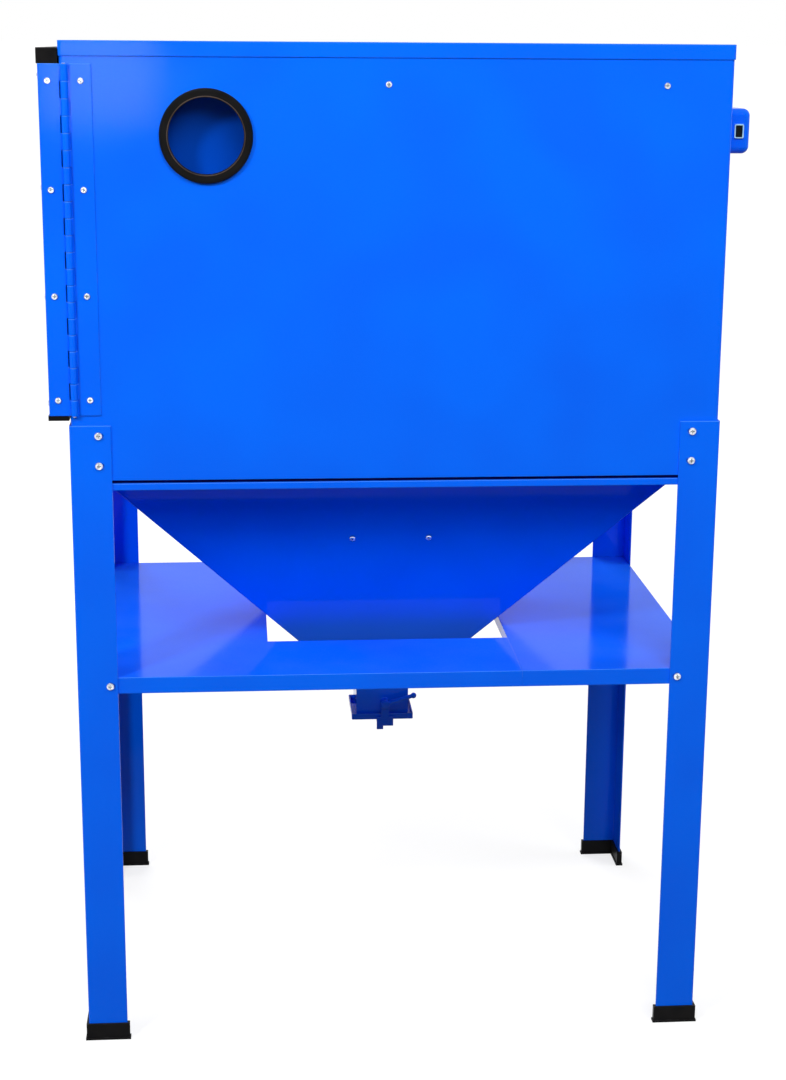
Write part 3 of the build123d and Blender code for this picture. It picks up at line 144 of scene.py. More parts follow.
def mix_colour(tree, amount, first, second):
    """One colour laid over another by an amount from 0 to 1."""
    factor, lower, upper, result = 0, 6, 7, 2      # the places of the Mix node's colour sockets
    node = add_node(tree, "ShaderNodeMix", {factor: amount, lower: first, upper: second}, data_type="RGBA")
    return node.outputs[result]


def spread(tree, value, low, high, to_low=0.0, to_high=1.0):
    """A value from low to high, stretched to another range and held inside it."""
    names = {"Value": value, "From Min": low, "From Max": high, "To Min": to_low, "To Max": to_high}
    return add_node(tree, "ShaderNodeMapRange", names).outputs["Result"]


def noise_of(tree, place, scale, detail):
    """Soft noise at a place, from 0 to 1 and mostly near the middle."""
    node = add_node(tree, "ShaderNodeTexNoise", {"Vector": place, "Scale": scale, "Detail": detail})
    return node.outputs["Fac"]


def to_a_metre(tree, millimetres):
    """How many of a size go into a metre, which is the scale of its noise."""
    return maths(tree, "DIVIDE", 1.0 / MM, millimetres)


def place_of(tree):
    """The place of a shaded point, in the frame's metres."""
    return add_node(tree, "ShaderNodeTexCoord").outputs["Object"]


def true_normal(tree):
    """The direction that a face looks in, before any bump."""
    return add_node(tree, "ShaderNodeNewGeometry").outputs["Normal"]


def height_of(tree, vector):
    """The upward part of a direction."""
    return add_node(tree, "ShaderNodeSeparateXYZ", {0: vector}).outputs["Z"]


# %% Helpers for materials and groups


def finish_of(name, colour, roughness, **sockets):
    """A new material and its Principled shader."""
    material = bpy.data.materials.new(name)
    material.use_nodes = True
    shader = material.node_tree.nodes["Principled BSDF"]
    shader.inputs["Base Color"].default_value = colour
    shader.inputs["Roughness"].default_value = roughness
    for socket, value in sockets.items():
        shader.inputs[socket.replace("_", " ")].default_value = value
    material.diffuse_color = colour
    return material, material.node_tree, shader


def raise_bump(tree, shader, height, depth, strength, normal):
    """A bump of some real depth on a shader, on top of a rounded normal."""
    bump = add_node(tree, "ShaderNodeBump", {
        "Strength": strength, "Distance": depth, "Height": height, "Normal": normal})
    tree.links.new(bump.outputs[0], shader.inputs["Normal"])


def new_group(name, inputs, outputs):
    """An empty shader group with number inputs, and outputs of the kinds given."""
    group = bpy.data.node_groups.new(name, "ShaderNodeTree")
    for label, value in inputs.items():
        socket = group.interface.new_socket(label, in_out="INPUT", socket_type="NodeSocketFloat")
        socket.default_value = value
    for label, kind in outputs.items():
        group.interface.new_socket(label, in_out="OUTPUT", socket_type="NodeSocket" + kind)
    entry = group.nodes.new("NodeGroupInput")
    leave = group.nodes.new("NodeGroupOutput")
    return group, entry.outputs, leave.inputs


def use_group(tree, group, values):
    """The outputs of a shader group, placed in a material with its own values."""
    node = tree.nodes.new("ShaderNodeGroup")
    node.node_tree = group
    for label, value in values.items():
        node.inputs[label].default_value = value
    return node.outputs


# %% [markdown]
# ## Effects that several finishes share
#
# Powder coat, rubber and cast metal all have a fine skin, and all but the metals gather a little dust.
# Each such effect is built once as a shader group that puts out masks, heights or a normal, and each
# material places it with its own sizes. An input whose name ends in mm takes millimetres, which the group
# turns into the scale of a noise, because the texture coordinates are the frame's own metres. Radius is in
# metres.

# %% Group: fine skin
DIMPLE_DETAIL = 2.0
WAVE_DETAIL = 1.0


def build_skin():
    """Fine dimples over a slow wave, as sprayed, cast or moulded surfaces have."""
    group, given, out = new_group(
        "fine_skin",
        {"Dimple mm": 1.5, "Wave mm": 120.0, "Wave share": 0.5},
        {"Height": "Float", "Patch": "Float"},
    )
    place = place_of(group)
    dimples = noise_of(group, place, to_a_metre(group, given["Dimple mm"]), DIMPLE_DETAIL)
    waves = noise_of(group, place, to_a_metre(group, given["Wave mm"]), WAVE_DETAIL)
    raised = maths(group, "MULTIPLY", waves, given["Wave share"])
    group.links.new(maths(group, "ADD", dimples, raised), out["Height"])
    group.links.new(waves, out["Patch"])
    return group


fine_skin = build_skin()
print("group:", fine_skin.name)

# %% Group: edge glint
EDGE_SAMPLES = 6
WEAR_PATCHES = 60.0            # noise scale of the patches where an edge is rubbed
WEAR_DETAIL = 4.0
WEAR_PATCH_RANGE = (0.5, 0.62)
WEAR_TURN_RANGE = (0.02, 0.2)  # how far the rounded normal has turned where wear starts and is full
HIGHLIGHT_RISE_RANGE = (0.08, 0.42)  # how much more it looks up than its face, on an upper edge


def build_edges():
    """Where two faces meet: a rounded normal, a wear mask, and an upward-edge mask for a painted highlight.
    """
    group, given, out = new_group(
        "edge_glint",
        {"Radius": 1.0 * MM, "Wear": 0.5},
        {"Normal": "Vector", "Mask": "Float", "Painted highlight": "Float"},
    )
    rounded = add_node(group, "ShaderNodeBevel", {"Radius": given["Radius"]}, samples=EDGE_SAMPLES).outputs[0]
    flat = true_normal(group)
    agree = add_node(group, "ShaderNodeVectorMath", {0: rounded, 1: flat}, operation="DOT_PRODUCT")
    turned = maths(group, "SUBTRACT", 1.0, agree.outputs["Value"])
    patches = noise_of(group, place_of(group), WEAR_PATCHES, WEAR_DETAIL)
    rubbed = spread(group, patches, *WEAR_PATCH_RANGE)
    worn = maths(group, "MULTIPLY", spread(group, turned, *WEAR_TURN_RANGE), rubbed)
    rise = maths(group, "SUBTRACT", height_of(group, rounded), height_of(group, flat))
    group.links.new(rounded, out["Normal"])
    group.links.new(maths(group, "MULTIPLY", worn, given["Wear"], clamp=True), out["Mask"])
    group.links.new(spread(group, rise, *HIGHLIGHT_RISE_RANGE), out["Painted highlight"])
    return group


edge_glint = build_edges()
print("group:", edge_glint.name)

# %% Group: settled dust
DUST_CLOUD_DETAIL = 8.0
DUST_CLOUD_RANGE = (0.35, 0.75)
SPECKS = 700.0                 # noise scale of single specks
SPECK_DETAIL = 2.0
SPECK_RANGE = (0.45, 0.7)
DUST_LEVEL_RANGE = (0.3, 0.95)  # how far a face looks up where dust starts to lie and lies fully


def build_dust():
    """Dust that lies on faces that look up, thicker in patches."""
    group, given, out = new_group("settled_dust", {"Amount": 0.3, "Patch mm": 60.0}, {"Mask": "Float"})
    place = place_of(group)
    clouds = noise_of(group, place, to_a_metre(group, given["Patch mm"]), DUST_CLOUD_DETAIL)
    specks = noise_of(group, place, SPECKS, SPECK_DETAIL)
    soft = spread(group, clouds, *DUST_CLOUD_RANGE)
    grains = spread(group, specks, *SPECK_RANGE)
    level = spread(group, height_of(group, true_normal(group)), *DUST_LEVEL_RANGE)
    lying = maths(group, "MULTIPLY", level, maths(group, "ADD", soft, grains))
    group.links.new(maths(group, "MULTIPLY", lying, given["Amount"], clamp=True), out["Mask"])
    return group


settled_dust = build_dust()
print("group:", settled_dust.name)

# %% Group: drawn lines
LINE_DETAIL = 3.0
TONE_DETAIL = 3.0


def build_lines():
    """Fine lines along X, as rolling, drawing or turning leaves on bare metal, and a cloudy tone."""
    group, given, out = new_group(
        "drawn_lines",
        {"Line mm": 0.3, "Run": 25.0, "Cloud mm": 11.0},
        {"Height": "Float", "Tone": "Float"},
    )
    place = place_of(group)
    parts = add_node(group, "ShaderNodeSeparateXYZ", {0: place}).outputs
    across = to_a_metre(group, given["Line mm"])
    along = maths(group, "DIVIDE", across, given["Run"])
    stretched = add_node(group, "ShaderNodeCombineXYZ", {
        "X": maths(group, "MULTIPLY", parts["X"], along),
        "Y": maths(group, "MULTIPLY", parts["Y"], across),
        "Z": maths(group, "MULTIPLY", parts["Z"], across),
    }).outputs[0]
    group.links.new(noise_of(group, stretched, 1.0, LINE_DETAIL), out["Height"])
    clouds = noise_of(group, place, to_a_metre(group, given["Cloud mm"]), TONE_DETAIL)
    group.links.new(clouds, out["Tone"])
    return group


drawn_lines = build_lines()
print("group:", drawn_lines.name)

# %% [markdown]
# ## Powder-coated steel
#
# The box, hopper, legs, shelf and door are steel sheet with a thick baked powder coat. It is glossy, so it
# mirrors what stands on it at a low angle, but its surface has the slight dimples that makers call orange
# peel. A bump from the fine-skin group gives those, and the edge group rounds the sheet's edges, so that
# each catches a thin line of light; on the edges that face up, a paler blue is painted in as a highlight.
# Two blues a little apart, mixed in slow patches, keep a large sheet from looking like plastic film. The
# baffle behind the dust port has the same coat, dulled by the grit that blows past it and painted darker
# as shade, for its place inside the box.

# %% Finish: blue powder coat
PAINT_DEEP = (0.0, 0.122, 0.92, 1.0)
PAINT_LIGHT = (0.0, 0.138, 0.97, 1.0)
PAINT_RUBBED = (0.10, 0.24, 0.90, 1.0)
PAINT_EDGE_HIGHLIGHT = (0.07, 0.29, 1.0, 1.0)
PAINT_EDGE_RADIUS = 1.8 * MM
DUST_ON_PAINT = (0.20, 0.34, 0.80, 1.0)


def powder_coat(name, deep, light, smooth, specular):
    """A baked coat: two blues in slow patches, orange peel, a painted upper-edge highlight, wear and dust."""
    material, tree, shader = finish_of(name, light, smooth, Specular_IOR_Level=specular)
    skin = use_group(tree, fine_skin, {"Dimple mm": 1.6, "Wave mm": 160.0, "Wave share": 1.2})
    edge = use_group(tree, edge_glint, {"Radius": PAINT_EDGE_RADIUS, "Wear": 0.45})
    dust = use_group(tree, settled_dust, {"Amount": 0.06, "Patch mm": 110.0})
    coat = mix_colour(tree, spread(tree, skin["Patch"], 0.35, 0.65), deep, light)
    # Painted highlight: a paler blue on the edges that face up, where the light catches them.
    coat_with_painted_highlight = mix_colour(tree, edge["Painted highlight"], coat, PAINT_EDGE_HIGHLIGHT)
    rubbed = mix_colour(tree, edge["Mask"], coat_with_painted_highlight, PAINT_RUBBED)
    feed(tree, shader.inputs["Base Color"], mix_colour(tree, dust["Mask"], rubbed, DUST_ON_PAINT))
    patchy = spread(tree, skin["Patch"], 0.3, 0.7, smooth - 0.015, smooth + 0.03)
    feed(tree, shader.inputs["Roughness"], maths(tree, "ADD", patchy, dust["Mask"]))
    raise_bump(tree, shader, skin["Height"], depth=0.12 * MM, strength=0.05, normal=edge["Normal"])
    return material


blue_paint = powder_coat("blue_powder_coat", PAINT_DEEP, PAINT_LIGHT, smooth=0.07, specular=0.06)
# Painted shade: the baffle's coat is a darker copy of the blue, for its place in shade inside the box; its
# higher roughness is the real dulling by grit.
dulled_shaded_paint = powder_coat(
    "dulled_powder_coat_painted_shade", (0.0, 0.050, 0.42, 1.0), (0.0, 0.062, 0.50, 1.0), smooth=0.45, specular=0.04)
print("finishes:", blue_paint.name, dulled_shaded_paint.name)

# %% [markdown]
# ## Rubber, plastic and foam
#
# The feet, the dust port's ring and the door's edge are moulded rubber: nearly black, with a satin skin and
# a bloom of grey on the upper faces. The bead round the port's lip is a paler brown, which is a painted
# highlight along the lip.
# The gloves are softer and more matt. Plastic is smoother and a little glossier, and the gasket is a dark
# blue foam. One function makes them all, because they differ only in their sizes and shades.

# %% Finish: moulded blacks
GREY_BLOOM = (0.09, 0.09, 0.095, 1.0)
MOULDED_EDGE_RADIUS = 0.8 * MM


def moulded(name, dark, light, roughness, dimple, depth, dust=0.12, bloom=GREY_BLOOM):
    """A dark moulded surface: patchy shade, fine skin and a little dust."""
    material, tree, shader = finish_of(name, light, roughness, Specular_IOR_Level=0.07)
    skin = use_group(tree, fine_skin, {"Dimple mm": dimple, "Wave mm": 30.0, "Wave share": 0.8})
    edge = use_group(tree, edge_glint, {"Radius": MOULDED_EDGE_RADIUS, "Wear": 0.35})
    lying = use_group(tree, settled_dust, {"Amount": dust, "Patch mm": 25.0})
    shade = mix_colour(tree, spread(tree, skin["Patch"], 0.3, 0.7), dark, light)
    worn = mix_colour(tree, edge["Mask"], shade, bloom)
    feed(tree, shader.inputs["Base Color"], mix_colour(tree, lying["Mask"], worn, bloom))
    rough = spread(tree, skin["Patch"], 0.3, 0.7, roughness - 0.06, roughness + 0.08)
    feed(tree, shader.inputs["Roughness"], rough)
    raise_bump(tree, shader, skin["Height"], depth, strength=0.5, normal=edge["Normal"])
    return material


black_rubber = moulded(
    "black_rubber", (0.0025, 0.0025, 0.003, 1.0), (0.007, 0.0065, 0.0065, 1.0),
    roughness=0.42, dimple=0.9, depth=0.15 * MM)
black_plastic = moulded(
    "black_plastic", (0.002, 0.004, 0.004, 1.0), (0.006, 0.009, 0.009, 1.0),
    roughness=0.34, dimple=0.6, depth=0.08 * MM)
closed_foam = moulded(
    "closed_cell_foam", (0.001, 0.002, 0.055, 1.0), (0.002, 0.005, 0.105, 1.0),
    roughness=0.85, dimple=1.8, depth=0.5 * MM, dust=0.05, bloom=(0.02, 0.04, 0.22, 1.0))
# Painted highlight: a paler brown for the bead, where the port's lip catches the light.
lip_rubber_painted_highlight = moulded(
    "lip_rubber_painted_highlight", (0.045, 0.030, 0.026, 1.0), (0.085, 0.060, 0.052, 1.0),
    roughness=0.38, dimple=0.7, depth=0.08 * MM)
glove_rubber = moulded(
    "dipped_glove_rubber", (0.010, 0.010, 0.011, 1.0), (0.026, 0.026, 0.028, 1.0),
    roughness=0.55, dimple=1.1, depth=0.22 * MM, dust=0.30)
print("finishes:", *[m.name for m in (black_rubber, black_plastic, closed_foam, lip_rubber_painted_highlight, glove_rubber)])

# %% [markdown]
# ## Bare and plated metals
#
# The latches and the hinge pin are zinc plated, with a calm and slightly blue tone, and the screws have the
# same plate, brighter and more uneven, as a painted reflection of bright glints and dark surroundings. The
# grate is raw steel bar with a little rust, the gun is a die casting, and the air inlet is turned brass.
# They share one function that mixes two tones in clouds, draws fine lines into the surface, and darkens the
# corners with painted shade from an occlusion node. That painted shade is what makes the cross in a
# screw's head visible from far away.

# %% Finish: metals
METAL_EDGE_RADIUS = 0.5 * MM
RUBBED_GAIN = 1.25             # how much brighter a rubbed edge is than the light tone
CORNER_SHADE_REACH = 2.5 * MM
PAINTED_CORNER_SHADE = 0.12       # how dark the painted corner shade is, against the dark tone


def scaled(colour, gain):
    """A colour made brighter or darker, and held to what paint can be."""
    return tuple(min(1.0, value * gain) for value in colour[:3]) + (1.0,)


def bare_metal(name, dark, light, roughness, line=0.3, run=25.0, depth=0.04 * MM, cloud=11.0, stain=None):
    """A metal with a cloudy tone, fine lines, rubbed edges and painted shade in its corners."""
    material, tree, shader = finish_of(name, light, roughness, Metallic=1.0)
    lines = use_group(tree, drawn_lines, {"Line mm": line, "Run": run, "Cloud mm": cloud})
    edge = use_group(tree, edge_glint, {"Radius": METAL_EDGE_RADIUS, "Wear": 0.6})
    tone = mix_colour(tree, spread(tree, lines["Tone"], 0.35, 0.65), dark, light)
    if stain:
        tone = mix_colour(tree, spread(tree, lines["Tone"], 0.58, 0.75), tone, stain)
    rubbed = mix_colour(tree, edge["Mask"], tone, scaled(light, RUBBED_GAIN))
    # Painted shade: an occlusion node darkens corners and recesses, such as the cross in a screw's head.
    openness = add_node(tree, "ShaderNodeAmbientOcclusion", {"Distance": CORNER_SHADE_REACH}, samples=8)
    corner = spread(tree, openness.outputs["AO"], 0.35, 0.85, 0.85, 0.0)
    corner_shaded = mix_colour(tree, corner, rubbed, scaled(dark, PAINTED_CORNER_SHADE))
    feed(tree, shader.inputs["Base Color"], corner_shaded)
    rough = spread(tree, lines["Height"], 0.3, 0.7, roughness - 0.07, roughness + 0.09)
    feed(tree, shader.inputs["Roughness"], rough)
    raise_bump(tree, shader, lines["Height"], depth, strength=0.5, normal=edge["Normal"])
    return material


zinc = bare_metal(
    "zinc_plate", (0.58, 0.60, 0.65, 1.0), (0.76, 0.78, 0.82, 1.0), roughness=0.30,
    depth=0.012 * MM, cloud=18.0)
# Painted reflection: the screws' zinc is brighter, with strong dark and light clouds that stand in for glints
# and dark reflections.
zinc_with_painted_glints = bare_metal(
    "zinc_with_painted_glints", (0.38, 0.42, 0.50, 1.0), (0.92, 0.95, 0.99, 1.0), roughness=0.20,
    depth=0.02 * MM, cloud=5.0)
raw_steel = bare_metal(
    "raw_steel", (0.26, 0.26, 0.27, 1.0), (0.46, 0.46, 0.47, 1.0), roughness=0.42,
    line=0.5, stain=(0.28, 0.20, 0.15, 1.0))
cast_alloy = bare_metal(
    "cast_alloy", (0.48, 0.49, 0.50, 1.0), (0.62, 0.63, 0.64, 1.0), roughness=0.5,
    line=0.9, run=1.0, depth=0.12 * MM)
brass = bare_metal(
    "turned_brass", (0.60, 0.42, 0.16, 1.0), (0.78, 0.58, 0.27, 1.0), roughness=0.26,
    stain=(0.40, 0.27, 0.12, 1.0))
print("finishes:", *[m.name for m in (zinc, zinc_with_painted_glints, raw_steel, cast_alloy, brass)])

# %% [markdown]
# ## Enamel, ceramic and glass
#
# The lamp's housing is white enamel and its tube is frosted glass. The window is clear safety glass with a
# faint green body. Glass keeps a plain transmission and a plain metallic, and only its roughness changes a
# little, where dust from the blasting has touched it. The gun's nozzle is sintered ceramic, and the frame
# round the switch is a pale cyan moulding with an enamel's gloss.

# %% Finish: enamel and ceramic
DUST_ON_ENAMEL = (0.42, 0.40, 0.36, 1.0)
ENAMEL_EDGE_RADIUS = 0.7 * MM


def enamel(name, dark, light, roughness, dimple, depth):
    """A pale hard surface with faint mottling and dust."""
    material, tree, shader = finish_of(name, light, roughness, Specular_IOR_Level=0.5)
    skin = use_group(tree, fine_skin, {"Dimple mm": dimple, "Wave mm": 40.0, "Wave share": 0.6})
    edge = use_group(tree, edge_glint, {"Radius": ENAMEL_EDGE_RADIUS, "Wear": 0.3})
    dust = use_group(tree, settled_dust, {"Amount": 0.4, "Patch mm": 30.0})
    tone = mix_colour(tree, spread(tree, skin["Patch"], 0.3, 0.7), dark, light)
    worn = mix_colour(tree, edge["Mask"], tone, dark)
    feed(tree, shader.inputs["Base Color"], mix_colour(tree, dust["Mask"], worn, DUST_ON_ENAMEL))
    raise_bump(tree, shader, skin["Height"], depth, strength=0.4, normal=edge["Normal"])
    return material


white_enamel = enamel(
    "white_enamel", (0.66, 0.67, 0.66, 1.0), (0.80, 0.81, 0.80, 1.0),
    roughness=0.3, dimple=1.4, depth=0.1 * MM)
ceramic = enamel(
    "sintered_ceramic", (0.62, 0.58, 0.50, 1.0), (0.74, 0.71, 0.64, 1.0),
    roughness=0.55, dimple=0.4, depth=0.08 * MM)
pale_trim = enamel(
    "pale_trim", (0.40, 0.72, 0.74, 1.0), (0.58, 0.88, 0.90, 1.0),
    roughness=0.3, dimple=0.8, depth=0.05 * MM)
print("finishes:", white_enamel.name, ceramic.name, pale_trim.name)

# %% Finish: glass
LAMP_LIGHT = (1.0, 0.98, 0.94, 1.0)
GLASS_IOR = 1.5


def glass(name, colour, clear, haze, glow=0.0):
    """Clear or frosted glass, with dust that raises its roughness in patches."""
    material, tree, shader = finish_of(name, colour, clear, IOR=GLASS_IOR, Transmission_Weight=1.0)
    shader.inputs["Emission Color"].default_value = LAMP_LIGHT
    shader.inputs["Emission Strength"].default_value = glow
    dust = use_group(tree, settled_dust, {"Amount": haze, "Patch mm": 45.0})
    feed(tree, shader.inputs["Roughness"], maths(tree, "ADD", dust["Mask"], clear))
    return material


window_glass = glass("window_glass", (0.90, 0.97, 0.95, 1.0), clear=0.01, haze=0.10)
frosted_glass = glass("frosted_tube", (0.95, 0.96, 0.97, 1.0), clear=0.35, haze=0.10, glow=6.0)
print("finishes:", window_glass.name, frosted_glass.name)

# %% [markdown]
# ## Giving the CAD pieces their finishes
#
# The imported record already says which finish each piece has, as a material slot. Reading it from there
# means that no piece is missed. Each material goes into the slots of the piece's own mesh, and the mesh
# itself isn't touched. A few pieces then get a finish of their own: the baffle, dulled and painted darker
# as shade, and the screws, whose plate is brighter and more uneven, as a painted reflection.

# %% Assign the finishes
FINISHES = {
    "blue_paint": blue_paint,
    "black_rubber": black_rubber,
    "glove_rubber": black_rubber,   # hidden: the skins below stand for them
    "zinc": zinc,
    "steel_bar": raw_steel,
    "white_metal": white_enamel,
    "lamp_glass": frosted_glass,
    "window_glass": window_glass,
    "black_plastic": black_plastic,
    "brass": brass,
    "cast_alloy": cast_alloy,
    "ceramic": ceramic,
    "foam": closed_foam,
}
OWN_FINISHES = {
    "dust_baffle": dulled_shaded_paint,
    "frame_bolts": zinc_with_painted_glints,
    "frame_nuts": zinc_with_painted_glints,
    "panel_screws": zinc_with_painted_glints,
    "door_fasteners": zinc_with_painted_glints,
}


def give_finish(piece, material):
    """Put one material in every slot of a piece."""
    if not piece.material_slots:
        piece.data.materials.append(material)
    for entry in piece.material_slots:
        entry.material = material


for row in frame["record"]["subparts"]:
    give_finish(frame["nodes"][row["node"]], FINISHES[row["material_slot"]])
for name, material in OWN_FINISHES.items():
    give_finish(frame["nodes"][name], material)

# %% [markdown]
# ## The gloves
#
# Each glove is one dipped rubber gauntlet: a long sleeve stretched over the port's ring, a wrist and a hand
# with four fingers and a thumb. CAD holds only a plain cone and a wedge for it. Here the sleeve and each
# finger are tubes with round ends, overlapped and then turned into one skin by a voxel remesh, which gives
# the soft webs between the fingers. Folds are pushed in afterwards, because a remesh would wash them out,
# and the skin is given its thickness last, so that a look into the port finds a hollow sleeve.

# %% Tubes with round ends
TUBE_SIDES = 28
END_ANGLES = (30, 55, 80)      # degrees round a tube's end, from its side towards its tip


def tube_rows(centres, radii):
    """The middle, the radius and the direction of each ring of a tube, its round ends among them."""
    first = (centres[1] - centres[0]).normalized()
    last = (centres[-1] - centres[-2]).normalized()
    rows = []
    for angle in reversed(END_ANGLES):
        narrow, beyond = math.cos(math.radians(angle)), math.sin(math.radians(angle))
        rows.append((centres[0] - first * radii[0] * beyond, radii[0] * narrow, first))
    for i, centre in enumerate(centres):
        ahead = centres[min(i + 1, len(centres) - 1)] - centres[max(i - 1, 0)]
        rows.append((centre, radii[i], ahead.normalized()))
    for angle in END_ANGLES:
        narrow, beyond = math.cos(math.radians(angle)), math.sin(math.radians(angle))
        rows.append((centres[-1] + last * radii[-1] * beyond, radii[-1] * narrow, last))
    return rows


def tube(mesh, points, radii, flatten=1.0):
    """Add a closed tube through some points. Its section may be flattened in height."""
    angles = [2 * math.pi * k / TUBE_SIDES for k in range(TUBE_SIDES)]
    rings = []
    for centre, radius, along in tube_rows([Vector(p) for p in points], radii):
        side = along.cross(Vector((0, 0, 1))).normalized()
        up = side.cross(along)
        rings.append([
            mesh.verts.new(centre + side * radius * math.cos(a) + up * radius * flatten * math.sin(a))
            for a in angles
        ])
    for low, high in zip(rings, rings[1:]):
        for k in range(TUBE_SIDES):
            mesh.faces.new((low[k], low[k - 1], high[k - 1], high[k]))
    mesh.faces.new(rings[0])
    mesh.faces.new(list(reversed(rings[-1])))


# %% The glove's own sizes
CUFF_RADIUS = 83.4 * MM
CUFF_STRAIGHT = 34 * MM
CUFF_RINGS = (-6 * MM, 12 * MM)    # forward of the port, where the cuff is still straight
WRIST_RADIUS = 46 * MM
SLEEVE_LENGTH = 290 * MM
SLEEVE_DROP = 80 * MM
SLEEVE_SAG = 9 * MM
SLEEVE_STEPS = 14
SLEEVE_TAPER = 0.9
SLEEVE_FLATTEN = 0.97
GLOVE_SKIN = 2.4 * MM
GLOVE_VOXEL = 3.2 * MM
PALM = (               # forward of the wrist, up, and radius, all in millimetres
    (-20, 0, 44),
    (8, -4, 44),
    (34, -9, 47),
    (58, -12, 47),
    (74, -14, 42),
)
PALM_FLATTEN = 0.46
KNUCKLES = (70, -13)   # forward of the wrist and up, in millimetres
FINGERS = (            # place across the palm, length, radius, droop at the tip, all in millimetres
    (-35, 62, 11.5, 17),
    (-12, 76, 12.5, 20),
    (12, 80, 12.5, 21),
    (35, 70, 12.0, 18),
)
FINGER_SPREAD = 0.16   # how far the fingers part, against their place across the palm
FINGER_TAPER = ((0, 1.0), (0.3, 0.98), (0.6, 0.94), (0.85, 0.86))   # share of the length and of the radius
THUMB = (              # across the palm, forward of the wrist, up, and radius, all in millimetres
    (30, 22, -14, 16),
    (45, 42, -19, 15),
    (51, 64, -24, 13.5),
    (49, 84, -28, 12),
)
print("glove's cuff radius and sleeve in mm:", round(CUFF_RADIUS / MM, 1), round(SLEEVE_LENGTH / MM, 1))

# %% The glove's tubes


def sleeve_axis(port, share):
    """A point on the middle line of the sleeve, from the port at 0 to the wrist at 1."""
    sag = SLEEVE_SAG * math.sin(math.pi * share)
    y = port.y + CUFF_STRAIGHT + SLEEVE_LENGTH * share
    return Vector((port.x, y, port.z - SLEEVE_DROP * share - sag))


def add_sleeve(mesh, port):
    """The sleeve, straight in the port's ring and then narrowing down to the wrist."""
    shares = [i / SLEEVE_STEPS for i in range(SLEEVE_STEPS + 1)]
    line = [port + Vector((0, y, 0)) for y in CUFF_RINGS]
    line += [sleeve_axis(port, s) for s in shares]
    radii = [CUFF_RADIUS for _ in CUFF_RINGS]
    radii += [CUFF_RADIUS + (WRIST_RADIUS - CUFF_RADIUS) * s ** SLEEVE_TAPER for s in shares]
    tube(mesh, line, radii, SLEEVE_FLATTEN)


def add_hand(mesh, wrist, thumb_side):
    """The palm, four fingers and the thumb."""
    palm = [wrist + Vector((0, y * MM, z * MM)) for y, z, _ in PALM]
    tube(mesh, palm, [radius * MM for _, _, radius in PALM], PALM_FLATTEN)
    for across, length, radius, droop in FINGERS:
        base = wrist + Vector((across * thumb_side * MM, KNUCKLES[0] * MM, KNUCKLES[1] * MM))
        parting = across * FINGER_SPREAD * thumb_side
        steps = [Vector((parting * s, length * s, -droop * s * s)) * MM for s, _ in FINGER_TAPER]
        tube(mesh, [base + step for step in steps], [radius * MM * size for _, size in FINGER_TAPER])
    thumb = [wrist + Vector((x * thumb_side, y, z)) * MM for x, y, z, _ in THUMB]
    tube(mesh, thumb, [radius * MM for _, _, _, radius in THUMB])


def glove_tubes(port, thumb_side):
    """The whole glove as overlapping tubes in one mesh."""
    mesh = bmesh.new()
    add_sleeve(mesh, port)
    add_hand(mesh, sleeve_axis(port, 1.0), thumb_side)
    data = bpy.data.meshes.new("glove_tubes")
    mesh.to_mesh(data)
    mesh.free()
    return data


# %% Folds and creases
FOLD_DEPTH = 9.0 * MM
FOLDS = 7.5                    # along the sleeve
FOLD_LEAN = 0.45               # how far a fold slants round the sleeve, in folds
FOLD_WANDER = 0.9              # how far noise shifts a fold, in folds
FOLD_SHARPNESS = 0.7
FOLD_NOISE = (1.1, 3.0)        # scale of that noise round and along the sleeve
SLACK = (0.35, 0.65, 0.3)      # depth everywhere, more on the underside, and more where noise adds it
FADE_IN = 9.0                  # how fast folds start after the port
FADE_OUT = 5.0                 # how fast they end near the wrist
FOLDS_END = 1.12               # share of the sleeve where they have ended
FOLDED_SHARE = 1.1             # share of the sleeve where the last one is pushed in
CREASE_DEPTH = 1.3 * MM
CREASE_SCALE = 55.0


def fold_depth(share, angle, seed):
    """How deep the sleeve folds at a place along it and round it, from 0 to 1."""
    around, along = FOLD_NOISE
    spot = Vector((math.cos(angle) * around, math.sin(angle) * around + seed, share * along))
    wander = noise.noise(spot)
    phase = share * FOLDS + FOLD_LEAN * math.sin(angle + seed) + FOLD_WANDER * wander
    ridge = 1.0 - abs(math.sin(math.pi * phase)) ** FOLD_SHARPNESS
    everywhere, below, uneven = SLACK
    slack = everywhere + below * max(0.0, -math.sin(angle)) + uneven * max(0.0, wander)
    fade = min(1.0, share * FADE_IN) * min(1.0, (FOLDS_END - share) * FADE_OUT)
    return ridge * slack * max(0.0, fade)


def fold_glove(piece, port, seed):
    """Push folds into the sleeve and creases into the hand."""
    wrist_y = sleeve_axis(port, 1.0).y
    for vertex in piece.data.vertices:
        share = (vertex.co.y - port.y - CUFF_STRAIGHT) / SLEEVE_LENGTH
        axis = sleeve_axis(port, min(max(share, 0.0), 1.0))
        out = Vector((vertex.co.x - axis.x, 0.0, vertex.co.z - axis.z))
        angle = math.atan2(out.z, out.x)
        if 0.0 < share < FOLDED_SHARE:
            vertex.co -= out.normalized() * FOLD_DEPTH * fold_depth(share, angle, seed)
        if vertex.co.y > wrist_y:
            crumple = noise.noise(vertex.co * CREASE_SCALE + Vector((seed, 0, 0)))
            vertex.co += vertex.normal * CREASE_DEPTH * crumple
    piece.data.update()


# %% One skin, folded and hollowed
PORT_SLICE = 1.5 * MM          # what lies outside this depth is cut off, which opens the cuff
RIM_DEPTH = 0.5 * MM


def bake(piece):
    """Replace a piece's mesh with what its modifiers make of it."""
    made = bpy.data.meshes.new_from_object(piece.evaluated_get(bpy.context.evaluated_depsgraph_get()))
    piece.modifiers.clear()
    piece.data = made


